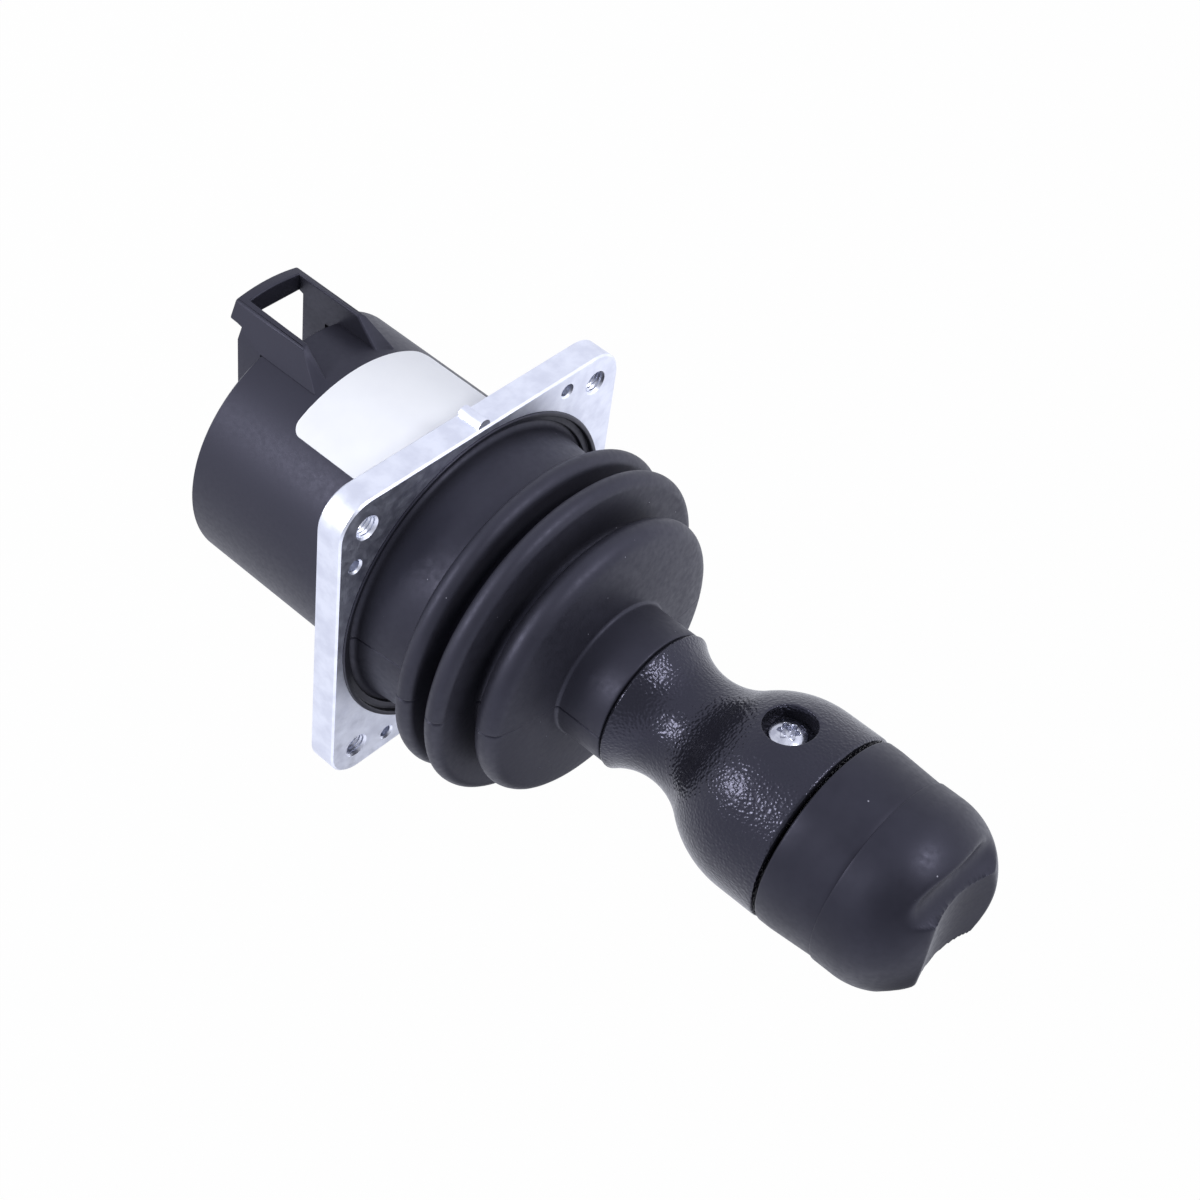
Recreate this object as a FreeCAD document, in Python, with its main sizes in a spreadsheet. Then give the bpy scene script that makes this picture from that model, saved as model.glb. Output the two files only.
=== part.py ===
import FreeCAD, Part
import os
import re
import Sketcher
from math import atan2, cos, degrees, hypot, radians, sin, sqrt

# Industrial joystick: a flange plate, a round housing behind it, a rubber gaiter, and a
# handle that tilts about X and about Y and has a knob that twists about its own axis.
# Frame: the origin is the centre of the plate's front face, +Z runs out along the handle,
# +Y points to the plate's datum rib. All lengths are millimetres, all angles degrees.

Vector = FreeCAD.Vector
doc = FreeCAD.newDocument("joystick")

# Driving dimensions
dimensions = {
    # Flange plate
    "plate_side": 95.0,
    "plate_thickness": 8.0,
    "plate_corner": 9.5,
    "plate_chamfer": 0.5,
    "bolt_margin": 8.5,
    "bolt_radius": 3.0,
    "bolt_sink": 0.5,
    "dowel_margin": 5.2,
    "dowel_step": 14.0,
    "dowel_radius": 1.7,
    "dowel_sink": 0.5,
    "rib_radius": 2.0,
    "rib_offset": -0.9,
    "seat_margin": 2.2,
    "seat_depth": 3.0,
    # Screws of the body
    "screw_radius": 1.45,
    "screw_clearance": 0.05,
    "sunk_radius": 2.8,
    "sunk_height": 1.4,
    "pan_radius": 2.7,
    "pan_height": 1.8,
    "drive_radius": 1.1,
    "drive_depth": 1.0,
    "housing_screw_length": 16.0,
    "frame_screw_length": 11.0,
    "gate_screw_length": 9.0,
    "board_screw_length": 6.4,
    "cover_screw_length": 9.0,
    # Housing
    "housing_radius": 37.0,
    "housing_wall": 3.0,
    "housing_rear": 65.3,
    "housing_edge": 0.6,
    "gasket_width": 1.9,
    "gasket_thickness": 0.5,
    "gasket_margin": 0.1,
    "boss_radius": 3.2,
    "boss_length": 18.0,
    "boss_hole": 13.0,
    "boss_margin": 0.5,
    "ledge_width": 2.4,
    "ledge_height": 2.0,
    "cover_inset": 3.8,
    "cover_thickness": 3.0,
    "cover_gap": 0.3,
    "cover_boss_radius": 3.6,
    "cover_boss_length": 10.0,
    "seal_width": 1.2,
    # Guard of the plug: two cheeks joined by an arched bar
    "guard_inner": 8.3,
    "guard_foot": 13.7,
    "guard_foot_height": 34.3,
    "guard_slope": 0.42,
    "guard_front": 45.5,
    "guard_rear": 78.3,
    "guard_bar": 3.2,
    "cheek_rear": 73.6,
    "cheek_low": 19.0,
    "notch_front": 61.0,
    # Label
    "label_width": 45.6,
    "label_front": 13.0,
    "label_rear": 43.8,
    "label_corner": 3.0,
    "label_thickness": 0.15,
    # Circuit board and connector
    "board_front": 42.0,
    "board_thickness": 1.6,
    "post_width": 6.4,
    "post_height": 7.0,
    "post_hole": 5.5,
    "chip_width": 5.0,
    "chip_height": 1.2,
    "chip_place": 9.0,
    "processor_width": 9.0,
    "processor_place": 14.0,
    "capacitor_radius": 2.5,
    "capacitor_height": 6.0,
    "capacitor_place": 15.0,
    "header_width": 15.0,
    "header_height": 20.0,
    "header_wall": 1.2,
    "header_mouth": 64.0,
    "header_floor": 4.4,
    "header_gap": 0.2,
    "pin_width": 0.64,
    "pin_pitch": 2.54,
    "pin_row": 3.0,
    "pin_tip": 57.0,
    "pin_gap": 0.08,
    "pin_end": 0.2,
    # Gimbal
    "pivot_depth": 12.0,
    "frame_margin": 0.2,
    "frame_thickness": 6.0,
    "lug_inner": 23.0,
    "lug_outer": 27.0,
    "lug_half": 6.0,
    "lug_rise": 5.5,
    "lug_drop": 8.0,
    "pillar_radius": 3.0,
    "gate_front": 32.0,
    "gate_thickness": 2.0,
    "gate_half": 15.5,
    "gate_corner": 6.0,
    "ring_half_width": 16.5,
    "ring_half_length": 20.0,
    "ring_half_depth": 6.0,
    "ring_side_wall": 4.0,
    "ring_end_wall": 4.5,
    "pivot_radius": 3.0,
    "pivot_running": 0.03,
    "bush_radius": 4.0,
    "flange_radius": 5.0,
    "flange_height": 0.8,
    "press_gap": 0.01,
    "pin_inset": 0.8,
    "hub_half_width": 9.0,
    "hub_half_length": 9.5,
    "hub_half_depth": 7.0,
    "hub_pin_radius": 1.5,
    "roll_pin_foot": 6.5,
    # Return springs of the gimbal and the tabs between their legs
    "coil_radius": 5.0,
    "coil_wire": 0.7,
    "coil_pitch": 1.5,
    "coil_turns": 2.5,
    "coil_leg": 15.0,
    "coil_side": 19.35,
    "coil_end": 12.5,
    "tab_gap": 0.3,
    "tab_running": 0.4,
    "still_high": 7.5,
    "still_low": 10.8,
    "free_high": 12.2,
    "free_low": 14.5,
    "free_arm": 3.1,
    # Height of the handle's clamp screw
    "clamp_screw_height": 98.5,
    # Stick
    "shaft_radius": 6.0,
    "shaft_bore": 3.0,
    "shaft_foot": 34.0,
    "holder_foot": 38.0,
    "holder_spigot": 6.0,
    "magnet_radius": 3.0,
    "magnet_height": 2.5,
    "sleeve_foot": 46.0,
    "sleeve_gap": 0.3,
    # Gaiter and the ring that clamps its flange
    "gaiter_wall": 1.8,
    "flange_thickness": 1.2,
    "foot_inset": 3.5,
    "foot_fillet": 2.0,
    "top_inset": 4.9,
    "root_radius": 3.0,
    "root_height": 14.6,
    "wave_radius": 2.8,
    "first_wave_inset": 0.2,
    "second_wave_inset": 0.3,
    "valley_radius": 2.05,
    "valley_inset": 5.2,
    "upper_valley_radius": 1.9,
    "upper_valley_inset": 10.2,
    "shoulder_radius": 4.0,
    "shoulder_inset": 8.5,
    "dome_radius": 60.0,
    "dome_start": 78.0,
    "dome_end": 86.0,
    "neck_fillet": 1.0,
    "neck_radius": 19.0,
    "neck_gap": 0.3,
    "clamp_gap": 0.2,
    "clamp_width": 1.3,
    "clamp_play": 0.1,
    "clamp_lip": 1.9,
    "clamp_lip_height": 0.7,
    "clamp_top": 0.5,
    "clamp_edge": 0.3,
    # Handle
    "handle_edge": 0.8,
    "waist_centre": 33.6,
    "barrel_radius": 25.4,
    "barrel_curve": 28.0,
    "well_radius": 21.5,
    "pocket_radius": 12.0,
    "grip_gap": 0.05,
    "clamp_screw_radius": 2.5,
    "clamp_head_radius": 4.75,
    "clamp_head_height": 3.0,
    "clamp_seat": 19.4,
    "clamp_recess": 6.45,
    "clamp_drive": 2.0,
    "clamp_drive_depth": 1.8,
    "clamp_tip": 3.3,
    # Twist knob and its bearing
    "twist_limit": 30.0,
    "spindle_radius": 5.0,
    "spindle_running": 0.05,
    "groove_radius": 4.1,
    "groove_height": 0.8,
    "clip_radius": 7.6,
    "clip_margin": 0.1,
    "bearing_margin": 0.3,
    "bearing_relief": 12.4,
    "bearing_relief_depth": 1.4,
    "collar_radius": 8.2,
    "bearing_circle": 17.5,
    "small_screw_radius": 1.2,
    "small_head_radius": 2.2,
    "small_head_height": 1.4,
    "small_screw_length": 8.5,
    "stop_circle": 14.0,
    "stop_radius": 2.0,
    "stop_margin": 0.3,
    "washer_radius": 8.0,
    "washer_gap": 0.05,
    "twist_board_thickness": 1.0,
    "twist_board_gap": 0.2,
    "twist_chip_width": 4.0,
    "twist_chip_height": 1.0,
    "twist_magnet_radius": 3.0,
    "twist_magnet_height": 2.0,
    "twist_coil_radius": 9.3,
    "twist_coil_pitch": 1.7,
    "twist_leg": 16.6,
    "still_tab_near": 10.8,
    "still_tab_far": 12.6,
    "free_tab_near": 15.6,
    "free_tab_far": 17.2,
    "core_radius": 21.0,
    "core_wall": 1.5,
    "core_top_radius": 13.5,
    "core_gap": 0.05,
    "knob_screw_radius": 1.95,
    "knob_head_radius": 3.5,
    "knob_head_height": 2.0,
    "knob_screw_length": 11.0,
    "knob_hole_depth": 12.0,
    "skirt_radius": 25.4,
    "skirt_rise": 3.7,
    "skirt_edge": 0.7,
    "seam_radius": 24.6,
    "seam_step": 0.35,
    "crown_centre": 6.3,
    "crown_rise": 1.6,
    "saddle_radius": 30.5,
    "scoop_radius": 4.9,
    "scoop_place": 16.3,
}

# Heights over the axis of the handle's clamp screw
rises = {
    "handle_foot": -38.0,
    "waist_height": -25.6,
    "shaft_top": 3.0,
    "barrel_height": 3.5,
    "handle_top": 14.8,
    "well_floor": 7.7,
    "pocket_floor": 4.0,
    "spindle_foot": 7.3,
    "spindle_top": 40.5,
    "groove_foot": 8.1,
    "bearing_top": 13.5,
    "collar_top": 22.9,
    "stop_foot": 10.3,
    "stop_top": 31.5,
    "twist_coil_foot": 17.0,
    "still_tab_top": 22.3,
    "free_tab_foot": 16.2,
    "knob_foot": 15.8,
    "core_ceiling": 24.0,
    "core_shoulder": 33.5,
    "core_top": 42.5,
    "seam_height": 31.7,
    "crown_height": 37.3,
    "saddle_height": 51.4,
    "scoop_floor": 48.2,
}
# Distances inside the housing's outer face
insets = {
    "boss_circle": 5.3,
    "cover_circle": 6.4,
    "board_radius": 5.8,
    "post_circle": 9.0,
    "post_inner": 12.2,
    "header_place": 17.5,
    "frame_circle": 5.8,
    "frame_inner": 9.8,
    "gate_radius": 5.2,
    "pillar_circle": 8.0,
    "throat_radius": 9.0,
    "guard_base": 2.4,
    "guard_lip": -0.5,
    "guard_radius": -6.7,
}
for name, rise in rises.items():
    dimensions[name + "_rise"] = rise
    dimensions[name] = "=clamp_screw_height + %s_rise" % name
for name, inset in insets.items():
    dimensions[name + "_inset"] = inset
    dimensions[name] = "=housing_radius - %s_inset" % name

sheet = doc.addObject("Spreadsheet::Sheet", "sizes")
for row, (alias, number) in enumerate(dimensions.items(), start=1):
    sheet.set("A%d" % row, alias)
    sheet.set("B%d" % row, str(number))
    sheet.setAlias("B%d" % row, alias)
doc.recompute()

word = re.compile(r"[A-Za-z_][A-Za-z_0-9]*")
pieces = {}


def linked(text):
    """The expression with each dimension's name pointing at its cell."""
    return word.sub(lambda m: "sizes." + m.group() if m.group() in dimensions else m.group(), str(text))


def size(text):
    """The number that an expression of dimensions gives."""
    return float(sheet.evalExpression(linked(text)))


def bind(item, **expressions):
    for name, text in expressions.items():
        item.setExpression(name.replace("__", "."), linked(text))


def place(item, x, y, z):
    bind(item, Placement__Base__x=x, Placement__Base__y=y, Placement__Base__z=z)


def turn_to(item, direction):
    """Turn a piece whose own axis is +Z so that its axis points along a direction."""
    item.Placement = FreeCAD.Placement(Vector(), FreeCAD.Rotation(Vector(0, 0, 1), Vector(*direction)))


def rod(radius, length, at=("0", "0", "0"), along=(0, 0, 1)):
    item = doc.addObject("Part::Cylinder", "rod")
    turn_to(item, along)
    bind(item, Radius=radius, Height=length)
    place(item, *at)
    return item


def disc(radius, low, high, x="0", y="0"):
    """A cylinder along Z between two heights."""
    return rod(radius, "(%s) - (%s)" % (high, low), (x, y, low))


def cone(foot, top, length, at=("0", "0", "0"), along=(0, 0, 1)):
    item = doc.addObject("Part::Cone", "cone")
    turn_to(item, along)
    bind(item, Radius1=foot, Radius2=top, Height=length)
    place(item, *at)
    return item


def hexagon(radius, length, at, along):
    item = doc.addObject("Part::Prism", "hexagon")
    item.Polygon = 6
    turn_to(item, along)
    bind(item, Circumradius=radius, Height=length)
    place(item, *at)
    return item


def block(x, y, z):
    """A box given by its low and high limit along each axis."""
    item = doc.addObject("Part::Box", "block")
    bind(
        item,
        Length="(%s) - (%s)" % (x[1], x[0]),
        Width="(%s) - (%s)" % (y[1], y[0]),
        Height="(%s) - (%s)" % (z[1], z[0]),
    )
    place(item, x[0], y[0], z[0])
    return item


def both(limit):
    """Limits that lie the same distance on both sides of zero."""
    return ("-(%s)" % limit, limit)


def joined(*items):
    if len(items) == 1:
        return items[0]
    item = doc.addObject("Part::MultiFuse", "joined")
    item.Shapes = list(items)
    item.Refine = True
    return item


def shared(*items):
    item = doc.addObject("Part::MultiCommon", "shared")
    item.Shapes = list(items)
    return item


def less(base, *tools):
    item = doc.addObject("Part::Cut", "less")
    item.Base = base
    item.Tool = joined(*tools)
    item.Refine = True
    return item


def mirrored(base, normal):
    item = doc.addObject("Part::Mirroring", "mirrored")
    item.Source = base
    item.Normal = normal
    return item


def group(items):
    item = doc.addObject("Part::Compound", "group")
    item.Links = list(items)
    return item


def piece(name, item):
    item.Label = name
    pieces[name] = item
    return item


def around(angles, circle):
    """Places on a circle about Z, as pairs of expressions."""
    return [("(%s) * cos(%s)" % (circle, a), "(%s) * sin(%s)" % (circle, a)) for a in angles]


def sketch_in(body, role="XZ_Plane", height="0"):
    plane = [item for item in body.Origin.OriginFeatures if item.Role == role][0]
    sketch = body.newObject("Sketcher::SketchObject", "outline")
    sketch.AttachmentSupport = [(plane, "")]
    sketch.MapMode = "FlatFace"
    sketch.setExpression("AttachmentOffset.Base.z", linked(height))
    return sketch


def tie_point(sketch, item, point, x, y):
    """Tie a point of a sketch to the expressions of its two coordinates."""
    for kind, axis, text in (("DistanceX", -2, x), ("DistanceY", -1, y)):
        number = size(text)
        if abs(number) < 1e-9:
            sketch.addConstraint(Sketcher.Constraint("PointOnObject", item, point, axis))
            continue
        mark = sketch.addConstraint(Sketcher.Constraint(kind, -1, 1, item, point, number))
        sketch.setExpression("Constraints[%d]" % mark, linked(text))


def corners_in(sketch, corners):
    """A closed outline of straight lines."""
    points = [Vector(size(x), size(y), 0) for x, y in corners]
    first = sketch.GeometryCount
    count = len(points)
    for k in range(count):
        sketch.addGeometry(Part.LineSegment(points[k], points[(k + 1) % count]), False)
    for k in range(count):
        sketch.addConstraint(Sketcher.Constraint("Coincident", first + k, 2, first + (k + 1) % count, 1))
    for k, corner in enumerate(corners):
        tie_point(sketch, first + k, 1, *corner)


def circles_in(sketch, places, radius):
    for x, y in places:
        circle = Part.Circle(Vector(size(x), size(y), 0), Vector(0, 0, 1), size(radius))
        item = sketch.addGeometry(circle, False)
        mark = sketch.addConstraint(Sketcher.Constraint("Radius", item, size(radius)))
        sketch.setExpression("Constraints[%d]" % mark, linked(radius))
        tie_point(sketch, item, 3, x, y)


def turned(corners):
    """A body turned about Z from an outline of (radius, height) corners."""
    body = doc.addObject("PartDesign::Body", "turned")
    sketch = sketch_in(body)
    corners_in(sketch, corners)
    doc.recompute()
    feature = body.newObject("PartDesign::Revolution", "revolution")
    feature.Profile = (sketch, [""])
    feature.ReferenceAxis = (sketch, ["V_Axis"])
    feature.Angle = 360
    doc.recompute()
    return body


def padded(corners, length, role="XY_Plane", height="0"):
    """A body padded from an outline on one of its own planes."""
    body = doc.addObject("PartDesign::Body", "padded")
    sketch = sketch_in(body, role, height)
    corners_in(sketch, corners)
    doc.recompute()
    feature = body.newObject("PartDesign::Pad", "pad")
    feature.Profile = (sketch, [""])
    bind(feature, Length=length)
    doc.recompute()
    return body


def pocketed(body, sketch, depth):
    """A pocket that goes down from its sketch, checked by the volume that it takes away."""
    doc.recompute()
    before = body.Shape.Volume
    feature = body.newObject("PartDesign::Pocket", "pocket")
    feature.Profile = (sketch, [""])
    bind(feature, Length=depth)
    doc.recompute()
    if body.Shape.Volume > before - 1e-6:
        feature.Reversed = True
        doc.recompute()
    if body.Shape.Volume > before - 1e-6:
        raise ValueError("a pocket takes nothing away")


def edged(body, kind, amount, wanted):
    """A fillet or chamfer on the edges that a test picks."""
    base = body.Tip
    names = ["Edge%d" % (k + 1) for k, edge in enumerate(base.Shape.Edges) if wanted(edge)]
    feature = body.newObject("PartDesign::" + kind, kind.lower())
    feature.Base = (base, names)
    bind(feature, **{"Radius" if kind == "Fillet" else "Size": amount})
    doc.recompute()


def flat_at(edge, height):
    box = edge.BoundBox
    return abs(box.ZMin - height) < 1e-6 and abs(box.ZMax - height) < 1e-6


def is_round(edge, radius):
    return hasattr(edge.Curve, "Radius") and abs(edge.Curve.Radius - radius) < 1e-6


def screws(places, seat, length, down, radius="screw_radius", head=("pan_radius", "pan_height")):
    """Like screws along Z with their heads on a seat height; a head without height is countersunk."""
    made = []
    out, into, sign = ((0, 0, 1), (0, 0, -1), "+") if down else ((0, 0, -1), (0, 0, 1), "-")
    for x, y in places:
        shank = rod(radius, length, (x, y, seat), into)
        if head[1]:
            top = rod(head[0], head[1], (x, y, seat), out)
            floor = "(%s) %s (%s - drive_depth)" % (seat, sign, head[1])
        else:
            top = cone(head[0], radius, "sunk_height", (x, y, seat), into)
            floor = "(%s) %s (0 - drive_depth)" % (seat, sign)
        drive = hexagon("drive_radius", "drive_depth + 0.1", (x, y, floor), out)
        made.append(less(joined(shank, top), drive))
    return group(made)


def bore(radius, places, low, high):
    """Cutters along Z between two heights, one for each place."""
    return [disc(radius, low, high, x, y) for x, y in places]


hole = "screw_radius + screw_clearance"
seat_radius = "plate_side / 2 - seat_margin"
ring_outside = "plate_side / 2 - seat_margin - clamp_play"
ring_inside = ring_outside + " - clamp_width"
gaiter_flange = ring_inside + " - clamp_gap"
flange_top = "flange_thickness - seat_depth"

# Places of the screws, seen along Z
frame_places = around((22.5, 157.5, 202.5, 337.5), "frame_circle")
boss_places = around((45, 135, 225, 315), "boss_circle")
cover_places = around((45, 135, 225, 315), "cover_circle")
post_places = around((0, 180, 270), "post_circle")
pillar_places = around((67.5, 112.5, 247.5, 292.5), "pillar_circle")
bearing_places = around((0, 180, 270), "bearing_circle")


# Flange plate
def make_mounting_plate():
    half = "plate_side / 2"
    body = padded(
        [("-plate_side / 2", "-plate_side / 2"), (half, "-plate_side / 2"), (half, half), ("-plate_side / 2", half)],
        "plate_thickness",
        height="-plate_thickness",
    )
    edged(body, "Fillet", "plate_corner", lambda edge: edge.BoundBox.ZLength > size("plate_thickness") - 1e-6)
    for level in (0.0, -size("plate_thickness")):
        edged(body, "Chamfer", "plate_chamfer", lambda edge: flat_at(edge, level))
    seat = sketch_in(body, "XY_Plane")
    circles_in(seat, [("0", "0")], seat_radius)
    pocketed(body, seat, "seat_depth")
    holes = sketch_in(body, "XY_Plane")
    near = "(plate_side / 2 - bolt_margin)"
    circles_in(holes, [(x + near, y + near) for x in ("", "-") for y in ("", "-")], "bolt_radius")
    far = "(plate_side / 2 - dowel_margin)"
    close = "(plate_side / 2 - dowel_margin - dowel_step)"
    dowels = [("-" + far, close), (close, far), (far, "-" + close), ("-" + close, "-" + far)]
    circles_in(holes, dowels, "dowel_radius")
    circles_in(holes, frame_places + boss_places, hole)
    circles_in(holes, [("0", "0")], "throat_radius")
    pocketed(body, holes, "plate_thickness + 1")
    for radius, sink in (("bolt_radius", "bolt_sink"), ("dowel_radius", "dowel_sink")):
        edged(body, "Chamfer", sink, lambda edge: flat_at(edge, 0.0) and is_round(edge, size(radius)))
    sinks = [
        cone("sunk_radius + screw_clearance", hole, "sunk_height", (x, y, "-seat_depth"), (0, 0, -1))
        for x, y in frame_places + boss_places
    ]
    rib = disc("rib_radius", "-plate_thickness", "0", "rib_offset", "plate_side / 2")
    outside = block(
        ("rib_offset - rib_radius", "rib_offset + rib_radius"),
        ("plate_side / 2 - 0.2", "plate_side / 2 + rib_radius"),
        ("plate_chamfer - plate_thickness", "-plate_chamfer"),
    )
    piece("mounting_plate", joined(less(body, *sinks), shared(rib, outside)))
    piece("frame_screws", screws(frame_places, "-seat_depth", "frame_screw_length", True, head=("sunk_radius", "")))
    piece("housing_screws", screws(boss_places, "-seat_depth", "housing_screw_length", True, head=("sunk_radius", "")))


# Housing with the guard of its plug
inner_wall = "housing_radius - housing_wall"
ledge_foot = "cover_inset + cover_thickness + gasket_thickness - housing_rear"
cover_front = "cover_inset + cover_thickness - housing_rear"
cover_rear = "cover_inset - housing_rear"
gasket_inner = "housing_radius - gasket_margin - gasket_width"


def make_guard():
    top = "guard_radius + 1"
    side = padded(
        [
            ("guard_base", "-guard_front"),
            (top, "-guard_front - (guard_radius + 1 - guard_base)"),
            (top, "-guard_rear"),
            ("guard_lip", "-guard_rear"),
            ("guard_lip", "-cheek_rear"),
            ("cheek_low", "-cheek_rear"),
            ("cheek_low", "-housing_rear"),
            ("guard_base", "-housing_rear"),
        ],
        "guard_foot - guard_inner + 1",
        "YZ_Plane",
        "guard_inner",
    )
    front = padded(
        [
            ("guard_inner", "cheek_low - 1"),
            ("guard_foot", "cheek_low - 1"),
            ("guard_foot", "guard_foot_height"),
            ("guard_foot - (guard_radius + 1 - guard_foot_height) * guard_slope", top),
            ("guard_inner", top),
        ],
        "guard_rear - guard_front + 2",
        height="-guard_rear - 1",
    )
    cheek = shared(side, front, disc("guard_radius", "-guard_rear - 1", "0"))
    bar = shared(
        block(both("guard_inner + 0.5"), ("guard_lip", top), ("-guard_rear", "guard_bar - guard_rear")),
        disc("guard_radius", "-guard_rear - 1", "0"),
    )
    return [cheek, mirrored(cheek, (1, 0, 0)), bar]


def make_housing():
    shell = turned([
        (inner_wall, "-plate_thickness"),
        (gasket_inner + " - gasket_margin", "-plate_thickness"),
        (gasket_inner + " - gasket_margin", "-plate_thickness - gasket_thickness"),
        ("housing_radius", "-plate_thickness - gasket_thickness"),
        ("housing_radius", "housing_edge - housing_rear"),
        ("housing_radius - housing_edge", "-housing_rear"),
        (inner_wall, "-housing_rear"),
        (inner_wall, ledge_foot),
        (inner_wall + " - ledge_width", ledge_foot),
        (inner_wall + " - ledge_width", ledge_foot + " + ledge_height"),
        (inner_wall, ledge_foot + " + ledge_height + ledge_width"),
    ])
    bosses = bore("boss_radius", boss_places, "-plate_thickness - boss_length", "-plate_thickness")
    bosses += bore("cover_boss_radius", cover_places, ledge_foot, ledge_foot + " + cover_boss_length")
    post_z = ("-board_front", "post_height - board_front")
    outer = "housing_radius - housing_wall / 2"
    posts = [
        block(("post_inner", outer), both("post_width / 2"), post_z),
        block(("-(%s)" % outer, "-post_inner"), both("post_width / 2"), post_z),
        block(both("post_width / 2"), ("-(%s)" % outer, "-post_inner"), post_z),
    ]
    notch = block(
        both("guard_inner"),
        ("housing_radius - housing_wall * 3", "guard_lip"),
        ("-housing_rear - 1", "-notch_front"),
    )
    holes = bore(hole, boss_places, "-plate_thickness - boss_hole", "1 - plate_thickness")
    holes += bore(hole, cover_places, ledge_foot + " - 1", ledge_foot + " + cover_screw_length")
    holes += bore(hole, post_places, "-board_front - 1", "post_hole - board_front")
    piece("housing", less(joined(shell, *bosses, *posts, *make_guard()), notch, *holes))
    piece("housing_gasket", turned([
        (gasket_inner, "-plate_thickness - gasket_thickness"),
        ("housing_radius - gasket_margin", "-plate_thickness - gasket_thickness"),
        ("housing_radius - gasket_margin", "-plate_thickness"),
        (gasket_inner, "-plate_thickness"),
    ]))


def make_label():
    half = "label_width / 2"
    body = padded(
        [("-label_width / 2", "-label_rear"), (half, "-label_rear"), (half, "-label_front"),
         ("-label_width / 2", "-label_front")],
        "housing_radius * 2",
        "XZ_Plane",
        "-housing_radius * 1.5",
    )
    edged(body, "Fillet", "label_corner", lambda edge: edge.BoundBox.YLength > size("housing_radius"))
    skin = less(
        disc("housing_radius + label_thickness", "-housing_rear", "-plate_thickness"),
        disc("housing_radius", "-housing_rear - 1", "0"),
    )
    outside = block(both("housing_radius"), ("1", "housing_radius + 1"), ("-housing_rear", "-plate_thickness"))
    piece("label", shared(skin, body, outside))


# Rear cover, its seal and screws
def make_rear_cover():
    opening = block(
        both("header_width / 2 + header_gap"),
        ("header_place - header_height / 2 - header_gap", "header_place + header_height / 2 + header_gap"),
        (cover_rear + " - 1", cover_front + " + 1"),
    )
    plate = disc(inner_wall + " - cover_gap", cover_rear, cover_front)
    piece("rear_cover", less(plate, opening, *bore(hole, cover_places, cover_rear + " - 1", cover_front + " + 1")))
    piece("cover_seal", turned([
        (inner_wall + " - cover_gap - seal_width", cover_front),
        (inner_wall + " - cover_gap", cover_front),
        (inner_wall + " - cover_gap", ledge_foot),
        (inner_wall + " - cover_gap - seal_width", ledge_foot),
    ]))
    piece("cover_screws", screws(cover_places, cover_rear, "cover_screw_length", False))


# Circuit board with what it carries
board_rear = "-board_front - board_thickness"
pin_places = [
    ("%s * pin_row" % side, "header_place + %s * pin_pitch" % step)
    for side in ("-0.5", "0.5")
    for step in ("-2.5", "-1.5", "-0.5", "0.5", "1.5", "2.5")
]


def pins(half, low, high):
    """Square rods along Z at the places of the connector's pins."""
    return [
        block(
            ("(%s) - (%s)" % (x, half), "(%s) + %s" % (x, half)),
            ("(%s) - (%s)" % (y, half), "(%s) + %s" % (y, half)),
            (low, high),
        )
        for x, y in pin_places
    ]


def make_board():
    plate = disc("board_radius", board_rear, "-board_front")
    cuts = bore(hole, post_places, board_rear + " - 1", "1 - board_front")
    cuts += bore("cover_boss_radius + boss_margin", cover_places, board_rear + " - 1", "1 - board_front")
    cuts += pins("pin_width / 2 + pin_gap", board_rear + " - 1", "1 - board_front")
    piece("circuit_board", less(plate, *cuts))
    piece("board_screws", screws(post_places, board_rear, "board_screw_length", False))
    half = "chip_width / 2"
    piece("sensor_chips", group([
        block(
            ("%s * chip_place - %s" % (side, half), "%s * chip_place + %s" % (side, half)),
            ("%s * chip_place - %s" % (side, half), "%s * chip_place + %s" % (side, half)),
            ("-board_front", "chip_height - board_front"),
        )
        for side in ("0.35", "-0.35")
    ]))
    processor = block(
        both("processor_width / 2"),
        ("-processor_place - processor_width / 2", "processor_width / 2 - processor_place"),
        (board_rear + " - chip_height", board_rear),
    )
    capacitors = [
        disc("capacitor_radius", board_rear + " - capacitor_height", board_rear, x, "-4")
        for x in ("capacitor_place", "-capacitor_place")
    ]
    piece("board_chips", group([processor] + capacitors))


def make_connector():
    half = "header_width / 2"
    low = "header_place - header_height / 2"
    high = "header_place + header_height / 2"
    floor = board_rear + " - header_floor"
    shell = block(both(half), (low, high), ("-header_mouth", board_rear))
    mouth = block(
        both("header_width / 2 - header_wall"),
        (low + " + header_wall", high + " - header_wall"),
        ("-header_mouth - 1", floor),
    )
    key = block(
        ("header_width / 2 - header_wall - 1", "header_width / 2 + 1"),
        ("header_place - 1.5", "header_place + 1.5"),
        ("-header_mouth - 1", "8 - header_mouth"),
    )
    holes = pins("pin_width / 2 + pin_gap", floor + " - 1", board_rear + " + 1")
    piece("connector_header", less(shell, mouth, key, *holes))
    piece("connector_pins", group(pins("pin_width / 2", "-pin_tip", "pin_end - board_front")))


# Gimbal: a fixed frame, a ring that tilts about X in it, a hub that tilts about Y in the ring
pivot = "-pivot_depth"
tab_half = "coil_radius - coil_wire - tab_gap"


def below(distance):
    """A height given as a distance below the pivot."""
    return "-pivot_depth - (%s)" % distance


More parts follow.
